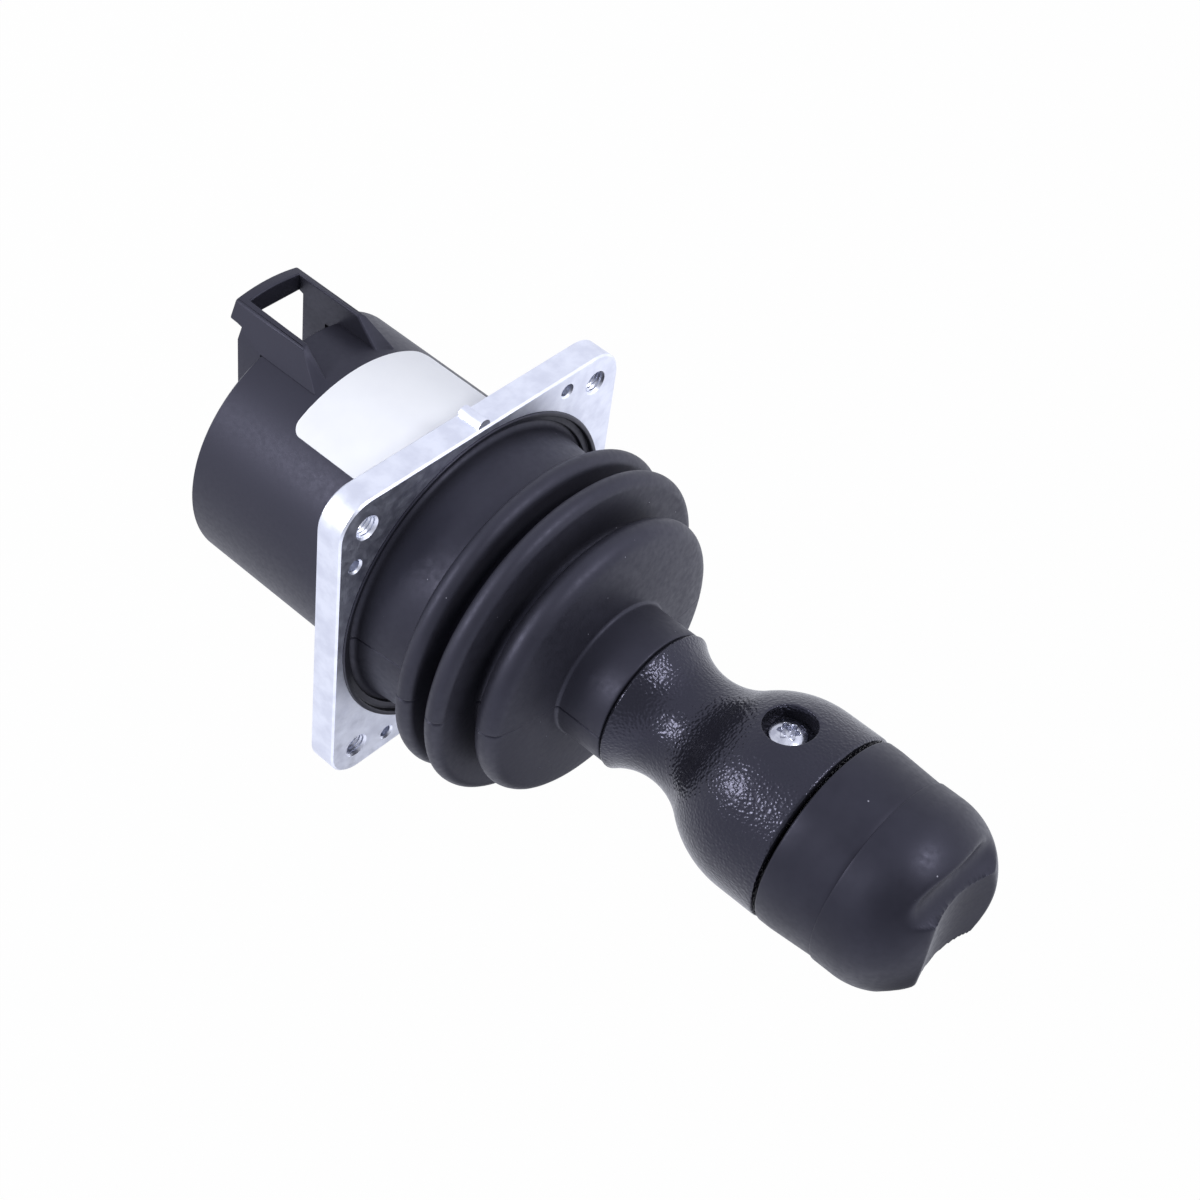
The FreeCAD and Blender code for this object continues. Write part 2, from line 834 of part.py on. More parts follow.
def make_gimbal_frame():
    low = "-plate_thickness - frame_thickness"
    ring = less(
        disc(inner_wall + " - frame_margin", low, "-plate_thickness"),
        disc("frame_inner", low + " - 1", "0"),
    )
    lug_z = (below("lug_drop"), below("-lug_rise"))
    bridge = "frame_inner + (frame_circle - frame_inner) / 2"
    lugs = [
        block(("lug_inner", "lug_outer"), both("lug_half"), lug_z),
        block(("-lug_outer", "-lug_inner"), both("lug_half"), lug_z),
        block(("lug_inner", bridge), both("lug_half"), (low, "-plate_thickness")),
        block(("-(%s)" % bridge, "-lug_inner"), both("lug_half"), (low, "-plate_thickness")),
    ]
    tab = block(
        ("-(lug_inner + lug_outer) / 2", "-ring_half_width - tab_running"),
        both(tab_half),
        (below("still_low"), below("still_high")),
    )
    pillars = bore("pillar_radius", pillar_places, "-gate_front", low + " + 1")
    scallops = bore("boss_radius + boss_margin", boss_places, low + " - 1", "0")
    holes = bore(hole, frame_places, low + " - 1", "0")
    holes += bore(hole, pillar_places, "-gate_front - 1", "gate_screw_length - gate_front")
    pivots = rod("bush_radius + press_gap", "lug_outer * 2 + 2", ("-lug_outer - 1", "0", pivot), (1, 0, 0))
    piece("gimbal_frame", less(joined(ring, *lugs, *pillars, tab), *scallops, *holes, pivots))


def make_bushes(name, inner, outer, flange_inside, axis):
    """A pair of flanged bushes on an axis through the pivot, mirrored about its centre."""
    made = []
    for sign in (1, -1):
        along = tuple(sign * part for part in axis)

        def start(distance):
            text = "%d * (%s)" % (sign, distance)
            return (text, "0", pivot) if axis[0] else ("0", text, pivot)

        sleeve = rod("bush_radius", "(%s) - (%s)" % (outer, inner), start(inner), along)
        edge = "(%s) - flange_height" % inner if flange_inside else outer
        flange = rod("flange_radius", "flange_height", start(edge), along)
        length = "(%s) - (%s) + 2 * flange_height + 2" % (outer, inner)
        running = rod("pivot_radius + pivot_running", length, start("(%s) - flange_height - 1" % inner), along)
        made.append(less(joined(sleeve, flange), running))
    return piece(name, group(made))


def make_limit_gate():
    low = "-gate_front - gate_thickness"
    opening = padded(
        [("-gate_half", "-gate_half"), ("gate_half", "-gate_half"), ("gate_half", "gate_half"),
         ("-gate_half", "gate_half")],
        "gate_thickness + 2",
        height=low + " - 1",
    )
    edged(opening, "Fillet", "gate_corner", lambda edge: edge.BoundBox.ZLength > size("gate_thickness"))
    scallops = bore("boss_radius + boss_margin", boss_places, low + " - 1", "0")
    holes = bore(hole, pillar_places, low + " - 1", "0")
    piece("limit_gate", less(disc("gate_radius", low, "-gate_front"), opening, *scallops, *holes))
    piece("gate_screws", screws(pillar_places, low, "gate_screw_length", False))


def make_gimbal_ring():
    ring_z = (below("ring_half_depth"), below("-ring_half_depth"))
    ring = less(
        block(both("ring_half_width"), both("ring_half_length"), ring_z),
        block(
            both("ring_half_width - ring_side_wall"),
            both("ring_half_length - ring_end_wall"),
            (ring_z[0] + " - 1", ring_z[1] + " + 1"),
        ),
    )
    arm = block(
        ("-ring_half_width", "ring_side_wall - ring_half_width"),
        both(tab_half),
        (below("free_low"), below("ring_half_depth - 1")),
    )
    free_tab = block(
        ("-lug_inner + flange_height + tab_running", "-ring_half_width + 1"),
        both(tab_half),
        (below("free_low"), below("free_high")),
    )
    end_arm = block(
        both(tab_half),
        ("ring_half_length - ring_end_wall", "ring_half_length - 1"),
        (below("still_low"), below("ring_half_depth - 1")),
    )
    still_tab = block(
        both(tab_half),
        ("hub_half_length + tab_running", "ring_half_length - ring_end_wall + 1"),
        (below("still_low"), below("still_high")),
    )
    pin_holes = rod(
        "pivot_radius + press_gap", "ring_half_width * 2 + 2", ("-ring_half_width - 1", "0", pivot), (1, 0, 0))
    bush_holes = rod(
        "bush_radius + press_gap", "ring_half_length * 2 + 2", ("0", "-ring_half_length - 1", pivot), (0, 1, 0))
    piece("gimbal_ring", less(joined(ring, arm, free_tab, end_arm, still_tab), pin_holes, bush_holes))
    start = "ring_half_width - ring_side_wall"
    length = "lug_outer - pin_inset - (%s)" % start
    piece("pitch_pins", group([
        rod("pivot_radius", length, (start, "0", pivot), (1, 0, 0)),
        rod("pivot_radius", length, ("-(%s)" % start, "0", pivot), (-1, 0, 0)),
    ]))


def make_stick_hub():
    hub = block(both("hub_half_width"), both("hub_half_length"), (below("hub_half_depth"), below("-hub_half_depth")))
    arm = block(
        both(tab_half),
        ("hub_half_length - free_arm", "hub_half_length"),
        (below("free_low"), below("hub_half_depth - 1")),
    )
    free_tab = block(
        both(tab_half),
        ("hub_half_length - 1", "ring_half_length - ring_end_wall - tab_running"),
        (below("free_low"), below("free_high")),
    )
    through = disc("shaft_radius + press_gap", below("hub_half_depth + 1"), below("-hub_half_depth - 1"))
    pin_holes = rod(
        "pivot_radius + press_gap", "hub_half_length * 2 + 2", ("0", "-hub_half_length - 1", pivot), (0, 1, 0))
    cross = rod(
        "hub_pin_radius + press_gap", "hub_half_width * 2 + 2", ("-hub_half_width - 1", "0", pivot), (1, 0, 0))
    piece("stick_hub", less(joined(hub, arm, free_tab), through, pin_holes, cross))
    length = "ring_half_length - pin_inset / 2 - roll_pin_foot"
    piece("roll_pins", group([
        rod("pivot_radius", length, ("0", "roll_pin_foot", pivot), (0, 1, 0)),
        rod("pivot_radius", length, ("0", "-roll_pin_foot", pivot), (0, -1, 0)),
    ]))
    piece("hub_pin", rod("hub_pin_radius", "hub_half_width * 2", ("-hub_half_width", "0", pivot), (1, 0, 0)))


# Torsion springs: a helix and two straight legs, swept in one go with Part's own functions
def coil_spring(name, radius, wire, pitch, turns, leg, placement):
    rise = pitch * turns
    helix = Part.makeHelix(pitch, rise, radius)
    first = Part.makeLine(Vector(radius, -leg, 0), Vector(radius, 0, 0))
    last = Part.makeLine(Vector(-radius, 0, rise), Vector(-radius, -leg, rise))
    section = Part.Wire([Part.makeCircle(wire, Vector(radius, -leg, 0), Vector(0, 1, 0))])
    item = doc.addObject("Part::Feature", "spring")
    item.Shape = Part.Wire([first] + helix.Edges + [last]).makePipeShell([section], True, False)
    item.Placement = placement
    piece(name, item)


def make_springs():
    half_rise = size("coil_pitch * coil_turns / 2")
    common = [size(name) for name in ("coil_radius", "coil_wire", "coil_pitch", "coil_turns", "coil_leg")]
    x_axis, y_axis, z_axis = Vector(1, 0, 0), Vector(0, 1, 0), Vector(0, 0, 1)
    pitch_place = FreeCAD.Placement(
        Vector(-size("coil_side") - half_rise, 0, size(pivot)), FreeCAD.Rotation(y_axis, z_axis, x_axis, "ZXY"))
    roll_place = FreeCAD.Placement(
        Vector(0, size("coil_end") - half_rise, size(pivot)), FreeCAD.Rotation(x_axis * -1, z_axis, y_axis, "ZXY"))
    twist_place = FreeCAD.Placement(Vector(0, 0, size("twist_coil_foot")), FreeCAD.Rotation())
    coil_spring("pitch_spring", *common, pitch_place)
    coil_spring("roll_spring", *common, roll_place)
    twist = [size(name) for name in ("twist_coil_radius", "coil_wire", "twist_coil_pitch", "coil_turns", "twist_leg")]
    coil_spring("twist_spring", *twist, twist_place)


# Stick
def make_stick():
    tube = less(
        disc("shaft_radius", "-shaft_foot", "shaft_top"),
        disc("shaft_bore", "-shaft_foot - 1", "shaft_top + 1"),
    )
    cross = rod("hub_pin_radius + press_gap", "shaft_radius * 2 + 2", ("-shaft_radius - 1", "0", pivot), (1, 0, 0))
    tapped = rod(
        "clamp_screw_radius + screw_clearance", "shaft_radius + 1", ("0", "0", "clamp_screw_height"), (0, 1, 0))
    piece("stick_shaft", less(tube, cross, tapped))
    holder = joined(
        disc("shaft_radius", "-holder_foot", "-shaft_foot"),
        disc("shaft_bore - grip_gap", "magnet_height - holder_foot", "holder_spigot - shaft_foot"),
    )
    pocket = disc("magnet_radius + press_gap", "-holder_foot - 1", "magnet_height - holder_foot")
    piece("magnet_holder", less(holder, pocket))
    piece("stick_magnet", disc("magnet_radius", "-holder_foot", "magnet_height - holder_foot"))
    piece("neck_sleeve", less(
        disc("neck_radius - gaiter_wall - sleeve_gap", "sleeve_foot", "handle_foot"),
        disc("shaft_radius + grip_gap", "sleeve_foot - 1", "handle_foot + 1"),
    ))


# Gaiter: a wall of even thickness that follows a chain of arcs from the flange to the neck
def polar(centre, radius, angle):
    return Vector(centre[0] + radius * cos(radians(angle)), 0, centre[1] + radius * sin(radians(angle)))


def arc(centre, radius, start, end):
    """The three points of an arc: its start, its middle and its end."""
    return [polar(centre, radius, angle) for angle in (start, (start + end) / 2, end)]


def foot_arc(foot, blend, inset):
    """The concave arc from the flange to the wall, or the inner face's foot below it."""
    if inset:
        return [Vector(foot - inset, 0, size(flange_top) + blend)]
    return arc((foot + blend, size(flange_top) + blend), blend, 270, 180)


def gaiter_wall(inset):
    """The outer face (inset 0) or the inner face, as points and arcs from the flange to the neck."""
    wave, valley, upper = size("wave_radius"), size("valley_radius"), size("upper_valley_radius")
    reach = size(gaiter_flange)
    foot, foot_blend = reach - size("foot_inset"), size("foot_fillet")
    turn, blend = size("shoulder_radius"), size("neck_fillet")
    start, end, dome_radius = size("dome_start"), size("dome_end"), size("dome_radius")
    root = (reach - size("top_inset - root_radius"), size("root_height"))
    first = (reach - size("first_wave_inset"), size("root_height + root_radius + wave_radius"))
    middle = (reach - size("valley_inset"), first[1] + wave + valley)
    second = (reach - size("second_wave_inset"), middle[1] + valley + wave)
    high = (reach - size("upper_valley_inset"), second[1] + wave + upper)
    shoulder = (reach - size("shoulder_inset"), high[1] + upper + turn)
    tip = polar(shoulder, turn, start)
    back = polar((tip.x, tip.z), dome_radius, start + 180)
    dome = (back.x, back.z)
    crest = polar(dome, dome_radius, end)
    neck_x = size("neck_radius") + blend
    foot_x = neck_x + blend * cos(radians(180 + end))
    foot_z = crest.z + (crest.x - foot_x) * cos(radians(end)) / sin(radians(end))
    neck = (neck_x, foot_z - blend * sin(radians(180 + end)))
    chain = [
        foot_arc(foot, foot_blend, inset),
        arc(root, size("root_radius") + inset, 180, 90),
        arc(first, wave - inset, -90, 90),
        arc(middle, valley + inset, 270, 90),
        arc(second, wave - inset, -90, 90),
        arc(high, upper + inset, 270, 90),
        arc(shoulder, turn - inset, -90, start),
        arc(dome, dome_radius - inset, start, end),
        arc(neck, blend + inset, 180 + end, 180),
        [Vector(size("neck_radius") - inset, 0, size("handle_foot - neck_gap"))],
    ]
    return chain


def turned_face(chain):
    """The solid turned about Z from a closed chain of points and arcs."""
    edges = []
    here = chain[-1][-1]
    for points in chain:
        if (points[0] - here).Length > 1e-6:
            edges.append(Part.makeLine(here, points[0]))
        if len(points) == 3:
            edges.append(Part.Arc(*points).toShape())
        here = points[-1]
    return Part.Face(Part.Wire(edges)).revolve(Vector(), Vector(0, 0, 1), 360)


def make_gaiter():
    outer, inner = gaiter_wall(0.0), gaiter_wall(size("gaiter_wall"))
    seat, flange = -size("seat_depth"), size(gaiter_flange)
    base = [
        [Vector(inner[0][0].x, 0, seat)],
        [Vector(flange, 0, seat)],
        [Vector(flange, 0, size(flange_top))],
    ]
    back = [list(reversed(points)) for points in reversed(inner)]
    item = doc.addObject("Part::Feature", "gaiter_shape")
    item.Shape = turned_face(base + outer + back)
    piece("gaiter", item)
    lip_foot = flange_top + " + clamp_gap"
    lip_top = lip_foot + " + clamp_lip_height"
    piece("gaiter_ring", turned([
        (ring_inside, "-seat_depth"),
        (ring_outside, "-seat_depth"),
        (ring_outside, "clamp_top - clamp_edge"),
        (ring_outside + " - clamp_edge", "clamp_top"),
        (ring_inside, "clamp_top"),
        (ring_inside, lip_top),
        (ring_inside + " - clamp_lip", lip_top),
        (ring_inside + " - clamp_lip", lip_foot),
        (ring_inside, lip_foot),
    ]))


# Handle: a waist and a barrel whose arcs touch
def make_handle():
    waist = (size("waist_centre"), size("waist_height"))
    barrel = (size("barrel_radius - barrel_curve"), size("barrel_height"))
    waist_radius = hypot(waist[0] - barrel[0], waist[1] - barrel[1]) - size("barrel_curve")
    lean = degrees(atan2(barrel[1] - waist[1], barrel[0] - waist[0]))
    edge, foot, top = size("handle_edge"), size("handle_foot"), size("handle_top")
    drop = waist[1] - foot - edge
    first = 180 + degrees(atan2(drop, sqrt(waist_radius ** 2 - drop ** 2)))
    rim = polar(waist, waist_radius, first)
    inner, pocket = size("shaft_radius + grip_gap"), size("pocket_radius")
    wide, well = size("barrel_radius"), size("well_radius")
    item = doc.addObject("Part::Feature", "handle_shape")
    item.Shape = turned_face([
        [Vector(inner, 0, foot)],
        [Vector(rim.x - edge, 0, foot)],
        arc(waist, waist_radius, first, lean),
        arc(barrel, size("barrel_curve"), lean - 180, 0),
        [Vector(wide, 0, top - edge)],
        [Vector(wide - edge, 0, top)],
        [Vector(well, 0, top)],
        [Vector(well, 0, size("well_floor"))],
        [Vector(pocket, 0, size("well_floor"))],
        [Vector(pocket, 0, size("pocket_floor"))],
        [Vector(inner, 0, size("pocket_floor"))],
    ])
    at = ("0", "clamp_seat", "clamp_screw_height")
    recess = rod("clamp_recess", "barrel_radius", at, (0, 1, 0))
    passage = rod(
        "clamp_screw_radius + screw_clearance", "clamp_seat + 1", ("0", "0", "clamp_screw_height"), (0, 1, 0))
    small = bore(
        "small_screw_radius + screw_clearance",
        bearing_places,
        "bearing_top - small_screw_length - 0.5",
        "well_floor + 1",
    )
    piece("handle_shell", less(item, recess, passage, *small))
    shank = rod(
        "clamp_screw_radius", "clamp_seat - clamp_tip", ("0", "clamp_tip", "clamp_screw_height"), (0, 1, 0))
    head = rod("clamp_head_radius", "clamp_head_height", at, (0, 1, 0))
    drive = hexagon(
        "clamp_drive",
        "clamp_drive_depth + 1",
        ("0", "clamp_seat + clamp_head_height - clamp_drive_depth", "clamp_screw_height"),
        (0, 1, 0),
    )
    piece("handle_screw", less(joined(shank, head), drive))


# Twist bearing, its sensor board and its stop
def make_bearing():
    run = "spindle_radius + spindle_running"
    relief = "well_floor + bearing_relief_depth"
    outer = "well_radius - bearing_margin"
    body = turned([
        (run, relief),
        ("bearing_relief", relief),
        ("bearing_relief", "well_floor"),
        (outer, "well_floor"),
        (outer, "bearing_top"),
        ("collar_radius", "bearing_top"),
        ("collar_radius", "collar_top"),
        (run, "collar_top"),
    ])
    slot_half = "stop_radius + stop_margin"
    limits = ("well_floor - 1", "bearing_top + 1")
    sweep = disc("stop_circle + " + slot_half, *limits)
    sweep.Placement = FreeCAD.Placement(Vector(), FreeCAD.Rotation(Vector(0, 0, 1), 90 - size("twist_limit")))
    bind(sweep, Angle="twist_limit * 2")
    place(sweep, "0", "0", limits[0])
    slot = less(sweep, disc("stop_circle - (%s)" % slot_half, "well_floor - 2", "bearing_top + 2"))
    ends = bore(slot_half, around(("90 - twist_limit", "90 + twist_limit"), "stop_circle"), *limits)
    holes = bore("small_screw_radius + screw_clearance", bearing_places, *limits)
    tab = block(
        both("twist_coil_radius - coil_wire - tab_gap"),
        ("-still_tab_far", "-still_tab_near"),
        ("bearing_top - 1", "still_tab_top"),
    )
    piece("bearing_plate", joined(less(body, slot, *ends, *holes), tab))
    piece("bearing_screws", screws(
        bearing_places, "bearing_top", "small_screw_length", True, "small_screw_radius",
        ("small_head_radius", "small_head_height")))
    board_top = "pocket_floor + twist_board_thickness"
    piece("twist_board", disc("pocket_radius - twist_board_gap", "pocket_floor", board_top))
    half = "twist_chip_width / 2"
    piece("twist_chip", block(both(half), both(half), (board_top, board_top + " + twist_chip_height")))


# Twist knob
def make_knob():
    bar = disc("spindle_radius", "spindle_foot", "spindle_top")
    groove = less(
        disc("spindle_radius + 1", "groove_foot", "groove_foot + groove_height"),
        disc("groove_radius", "groove_foot - 1", "groove_foot + groove_height + 1"),
    )
    pocket = disc("twist_magnet_radius + press_gap", "spindle_foot - 1", "spindle_foot + twist_magnet_height")
    tapped = disc("knob_screw_radius + screw_clearance", "spindle_top - knob_hole_depth", "spindle_top + 1")
    piece("knob_spindle", less(bar, groove, pocket, tapped))
    piece("twist_magnet", disc("twist_magnet_radius", "spindle_foot", "spindle_foot + twist_magnet_height"))
    clip_z = ("groove_foot + clip_margin", "groove_foot + groove_height - clip_margin")
    piece("spindle_clip", less(
        disc("clip_radius", *clip_z),
        disc("groove_radius + press_gap", "groove_foot - 1", "groove_foot + groove_height + 1"),
        block(both("groove_radius * 0.6"), ("0", "clip_radius + 1"), ("groove_foot - 1", "groove_foot + 2")),
    ))
    piece("thrust_washer", less(
        disc("washer_radius", "collar_top + washer_gap", "core_ceiling - washer_gap"),
        disc("spindle_radius + spindle_running", "collar_top - 1", "core_ceiling + 1"),
    ))
    socket = "spindle_radius + press_gap"
    cup = "core_radius - core_wall"
    passage = "knob_screw_radius + screw_clearance"
    core = turned([
        (socket, "core_ceiling"),
        (cup, "core_ceiling"),
        (cup, "knob_foot"),
        ("core_radius", "knob_foot"),
        ("core_radius", "core_shoulder"),
        ("core_top_radius", "core_top"),
        (passage, "core_top"),
        (passage, "spindle_top"),
        (socket, "spindle_top"),
    ])
    tab = block(
        both("twist_coil_radius - coil_wire - tab_gap"),
        ("-free_tab_far", "-free_tab_near"),
        ("free_tab_foot", "core_ceiling + 1"),
    )
    stop_hole = disc("stop_radius + press_gap", "core_ceiling - 1", "stop_top", "0", "stop_circle")
    piece("knob_core", less(joined(core, tab), stop_hole))
    piece("stop_pin", disc("stop_radius", "stop_foot", "stop_top", "0", "stop_circle"))
    piece("knob_screw", screws(
        [("0", "0")], "core_top", "knob_screw_length", True, "knob_screw_radius",
        ("knob_head_radius", "knob_head_height")))


def make_knob_cap():
    edge, foot, gap = size("skirt_edge"), size("knob_foot"), size("core_gap")
    skirt, step = size("skirt_radius"), size("seam_radius + seam_step")
    crown = (size("crown_centre"), size("crown_height"))
    crown_radius = step - crown[0]
    core, core_top, narrow = size("core_radius") + gap, size("core_top") + gap, size("core_top_radius") + gap
    room, head_top = size("knob_head_radius") + 10 * gap, size("core_top + knob_head_height") + 10 * gap
    item = doc.addObject("Part::Feature", "cap_shape")
    item.Shape = turned_face([
        [Vector(core, 0, foot)],
        arc((skirt - edge, foot + edge), edge, -90, 0),
        [Vector(skirt, 0, size("knob_foot + skirt_rise"))],
        [Vector(size("seam_radius"), 0, size("seam_height"))],
        [Vector(step, 0, size("seam_height"))],
        arc(crown, crown_radius, 0, 90),
        [Vector(0, 0, crown[1] + crown_radius + size("crown_rise"))],
        [Vector(0, 0, head_top)],
        [Vector(room, 0, head_top)],
        [Vector(room, 0, core_top)],
        [Vector(narrow, 0, core_top)],
        [Vector(core, 0, size("core_shoulder") + gap)],
    ])
    span = "skirt_radius * 2"
    saddle = rod("saddle_radius", span, ("0", "-skirt_radius", "saddle_height + saddle_radius"), (0, 1, 0))
    scoops = [
        rod("scoop_radius", span, ("-skirt_radius", side + "scoop_place", "scoop_floor + scoop_radius"), (1, 0, 0))
        for side in ("", "-")
    ]
    piece("knob_cap", less(item, saddle, *scoops))


make_mounting_plate()
make_housing()
make_label()
make_rear_cover()
make_board()
make_connector()
make_gimbal_frame()
make_bushes("pitch_bushes", "lug_inner", "lug_outer", True, (1, 0, 0))
make_limit_gate()
make_gimbal_ring()
make_bushes("roll_bushes", "ring_half_length - ring_end_wall", "ring_half_length", False, (0, 1, 0))
make_stick_hub()
make_springs()
make_stick()
make_gaiter()
make_handle()
make_bearing()
make_knob()
make_knob_cap()

# Check every object, then write one file for each piece
doc.recompute()
for item in doc.Objects:
    if "Invalid" in item.State or "Error" in item.State:
        raise ValueError("%s isn't valid: %s" % (item.Label, item.State))
os.makedirs("parts", exist_ok=True)
for name, item in pieces.items():
    shape = item.Shape
    if shape.isNull() or not shape.isValid() or not shape.Solids:
        raise ValueError("%s has no valid shape" % name)
    shape.exportStep("parts/%s.step" % name)
    print(name, len(shape.Solids), round(shape.Volume, 1))
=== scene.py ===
from math import atan2, degrees, hypot, radians, sqrt

import bmesh
import bpy
import numpy as np
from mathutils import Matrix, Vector


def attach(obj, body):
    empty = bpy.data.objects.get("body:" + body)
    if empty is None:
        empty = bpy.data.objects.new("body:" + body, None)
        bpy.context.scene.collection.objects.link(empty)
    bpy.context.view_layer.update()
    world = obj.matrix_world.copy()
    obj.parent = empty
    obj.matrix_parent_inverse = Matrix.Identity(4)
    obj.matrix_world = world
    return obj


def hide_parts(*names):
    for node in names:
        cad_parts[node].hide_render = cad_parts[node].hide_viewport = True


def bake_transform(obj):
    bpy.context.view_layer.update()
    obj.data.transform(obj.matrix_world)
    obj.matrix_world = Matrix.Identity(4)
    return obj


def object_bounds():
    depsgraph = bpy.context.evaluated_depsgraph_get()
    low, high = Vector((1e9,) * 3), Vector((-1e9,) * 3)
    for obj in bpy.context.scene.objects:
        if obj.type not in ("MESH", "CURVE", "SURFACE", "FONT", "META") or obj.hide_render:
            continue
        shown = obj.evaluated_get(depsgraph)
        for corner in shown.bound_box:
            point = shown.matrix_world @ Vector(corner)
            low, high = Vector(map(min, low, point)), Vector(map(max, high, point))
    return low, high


# Industrial joystick. Lengths are written in millimetres and angles in degrees; the origin is
# the centre of the flange plate's front face, +Z runs out along the handle and +Y points to
# the plate's rib.
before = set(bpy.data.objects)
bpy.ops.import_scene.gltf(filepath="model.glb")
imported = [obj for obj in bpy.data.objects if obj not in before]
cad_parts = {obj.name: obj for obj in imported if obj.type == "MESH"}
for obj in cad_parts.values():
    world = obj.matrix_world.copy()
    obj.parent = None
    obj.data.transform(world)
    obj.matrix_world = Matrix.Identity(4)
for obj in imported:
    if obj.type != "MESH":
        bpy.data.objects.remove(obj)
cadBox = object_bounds()
mm = 0.001
scene = bpy.context.scene
scene.view_settings.view_transform = "Standard"
print("frame loaded, nodes:", len(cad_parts))


# Meshes from arrays

def gridFaces(rows, columns, first=0, loopRows=False):
    # quads between neighbouring points of a grid whose columns go all the way round
    a, b = np.meshgrid(np.arange(rows if loopRows else rows - 1), np.arange(columns), indexing="ij")
    below, right = (a + 1) % rows, (b + 1) % columns
    quads = np.stack([a * columns + b, a * columns + right, below * columns + right, below * columns + b], -1)
    return quads.reshape(-1, 4) + first


def meshPiece(name, points, faces, body, material, replaced=(), sharp=32, between=None):
    # a smooth piece from points in millimetres; its doubles are merged and its faces point outwards
    mesh = bpy.data.meshes.new(name)
    mesh.from_pydata((points * mm).tolist(), [], [list(face) for face in faces])
    shape = bmesh.new()
    shape.from_mesh(mesh)
    bmesh.ops.remove_doubles(shape, verts=shape.verts, dist=2e-6)
    bmesh.ops.dissolve_degenerate(shape, edges=shape.edges, dist=1e-7)
    bmesh.ops.recalc_face_normals(shape, faces=shape.faces)
    shape.to_mesh(mesh)
    shape.free()
    mesh.shade_smooth()
    mesh.set_sharp_from_angle(angle=radians(sharp))
    item = bpy.data.objects.new(name, mesh)
    scene.collection.objects.link(item)
    item.data.materials.append(material)
    if between:
        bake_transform(item)
    else:
        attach(item, body)
    if replaced:
        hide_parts(*replaced)
    return item


def turned(profile, angles):
    # a profile of (radius, height) rows turned about Z to every angle
    a = np.radians(angles)
    r, z = profile[:, 0, None], profile[:, 1, None]
    return np.stack([r * np.cos(a), r * np.sin(a), z + 0 * a], -1)


def arcPoints(centre, radius, start, end, count):
    # centre + radius * (cos a, sin a), with a running from start to end
    a = np.radians(np.linspace(start, end, count))
    return np.column_stack([centre[0] + radius * np.cos(a), centre[1] + radius * np.sin(a)])


def dense(points, step):
    # points added on every straight run so that none is longer than the step
    rows = []
    for here, there in zip(points[:-1], points[1:]):
        count = max(1, int(np.ceil(hypot(*(there - here)) / step)))
        rows.append(here + (there - here) * np.linspace(0, 1, count, endpoint=False)[:, None])
    return np.vstack(rows + [points[-1:]])


def rounded(corners, radii, count=5):
    # a closed outline whose corners are replaced by arcs: each starts and ends where a circle
    # of the given radius touches the two sides
    rows = []
    for k, (corner, radius) in enumerate(zip(corners, radii)):
        if not radius:
            rows.append(corner[None])
            continue
        back, on = corners[k - 1] - corner, corners[(k + 1) % len(corners)] - corner
        back, on = back / hypot(*back), on / hypot(*on)
        half = np.arccos(np.clip(back @ on, -1, 1)) / 2
        middle = corner + (back + on) / hypot(*(back + on)) * radius / np.sin(half)
        start = corner + back * radius / np.tan(half) - middle
        end = corner + on * radius / np.tan(half) - middle
        angles = np.arctan2([start[1], end[1]], [start[0], end[0]])
        turn = (angles[1] - angles[0] + np.pi) % (2 * np.pi) - np.pi
        a = angles[0] + turn * np.linspace(0, 1, count)
        rows.append(middle + radius * np.column_stack([np.cos(a), np.sin(a)]))
    return np.vstack(rows)


# Materials

def toLinear(colour):
    # an sRGB hex colour as the linear colour that a shader wants
    s = np.array([int(colour[k:k + 2], 16) for k in (1, 3, 5)]) / 255
    return (*np.where(s <= 0.04045, s / 12.92, ((s + 0.055) / 1.055) ** 2.4).tolist(), 1.0)


def addNode(tree, kind, values=None, links=None, **settings):
    # one node with its settings, its input values and the sockets that feed its inputs
    node = tree.nodes.new("ShaderNode" + kind)
    for name, value in settings.items():
        setattr(node, name, value)
    for name, value in (values or {}).items():
        node.inputs[name].default_value = value
    for name, socket in (links or {}).items():
        tree.links.new(socket, node.inputs[name])
    return node


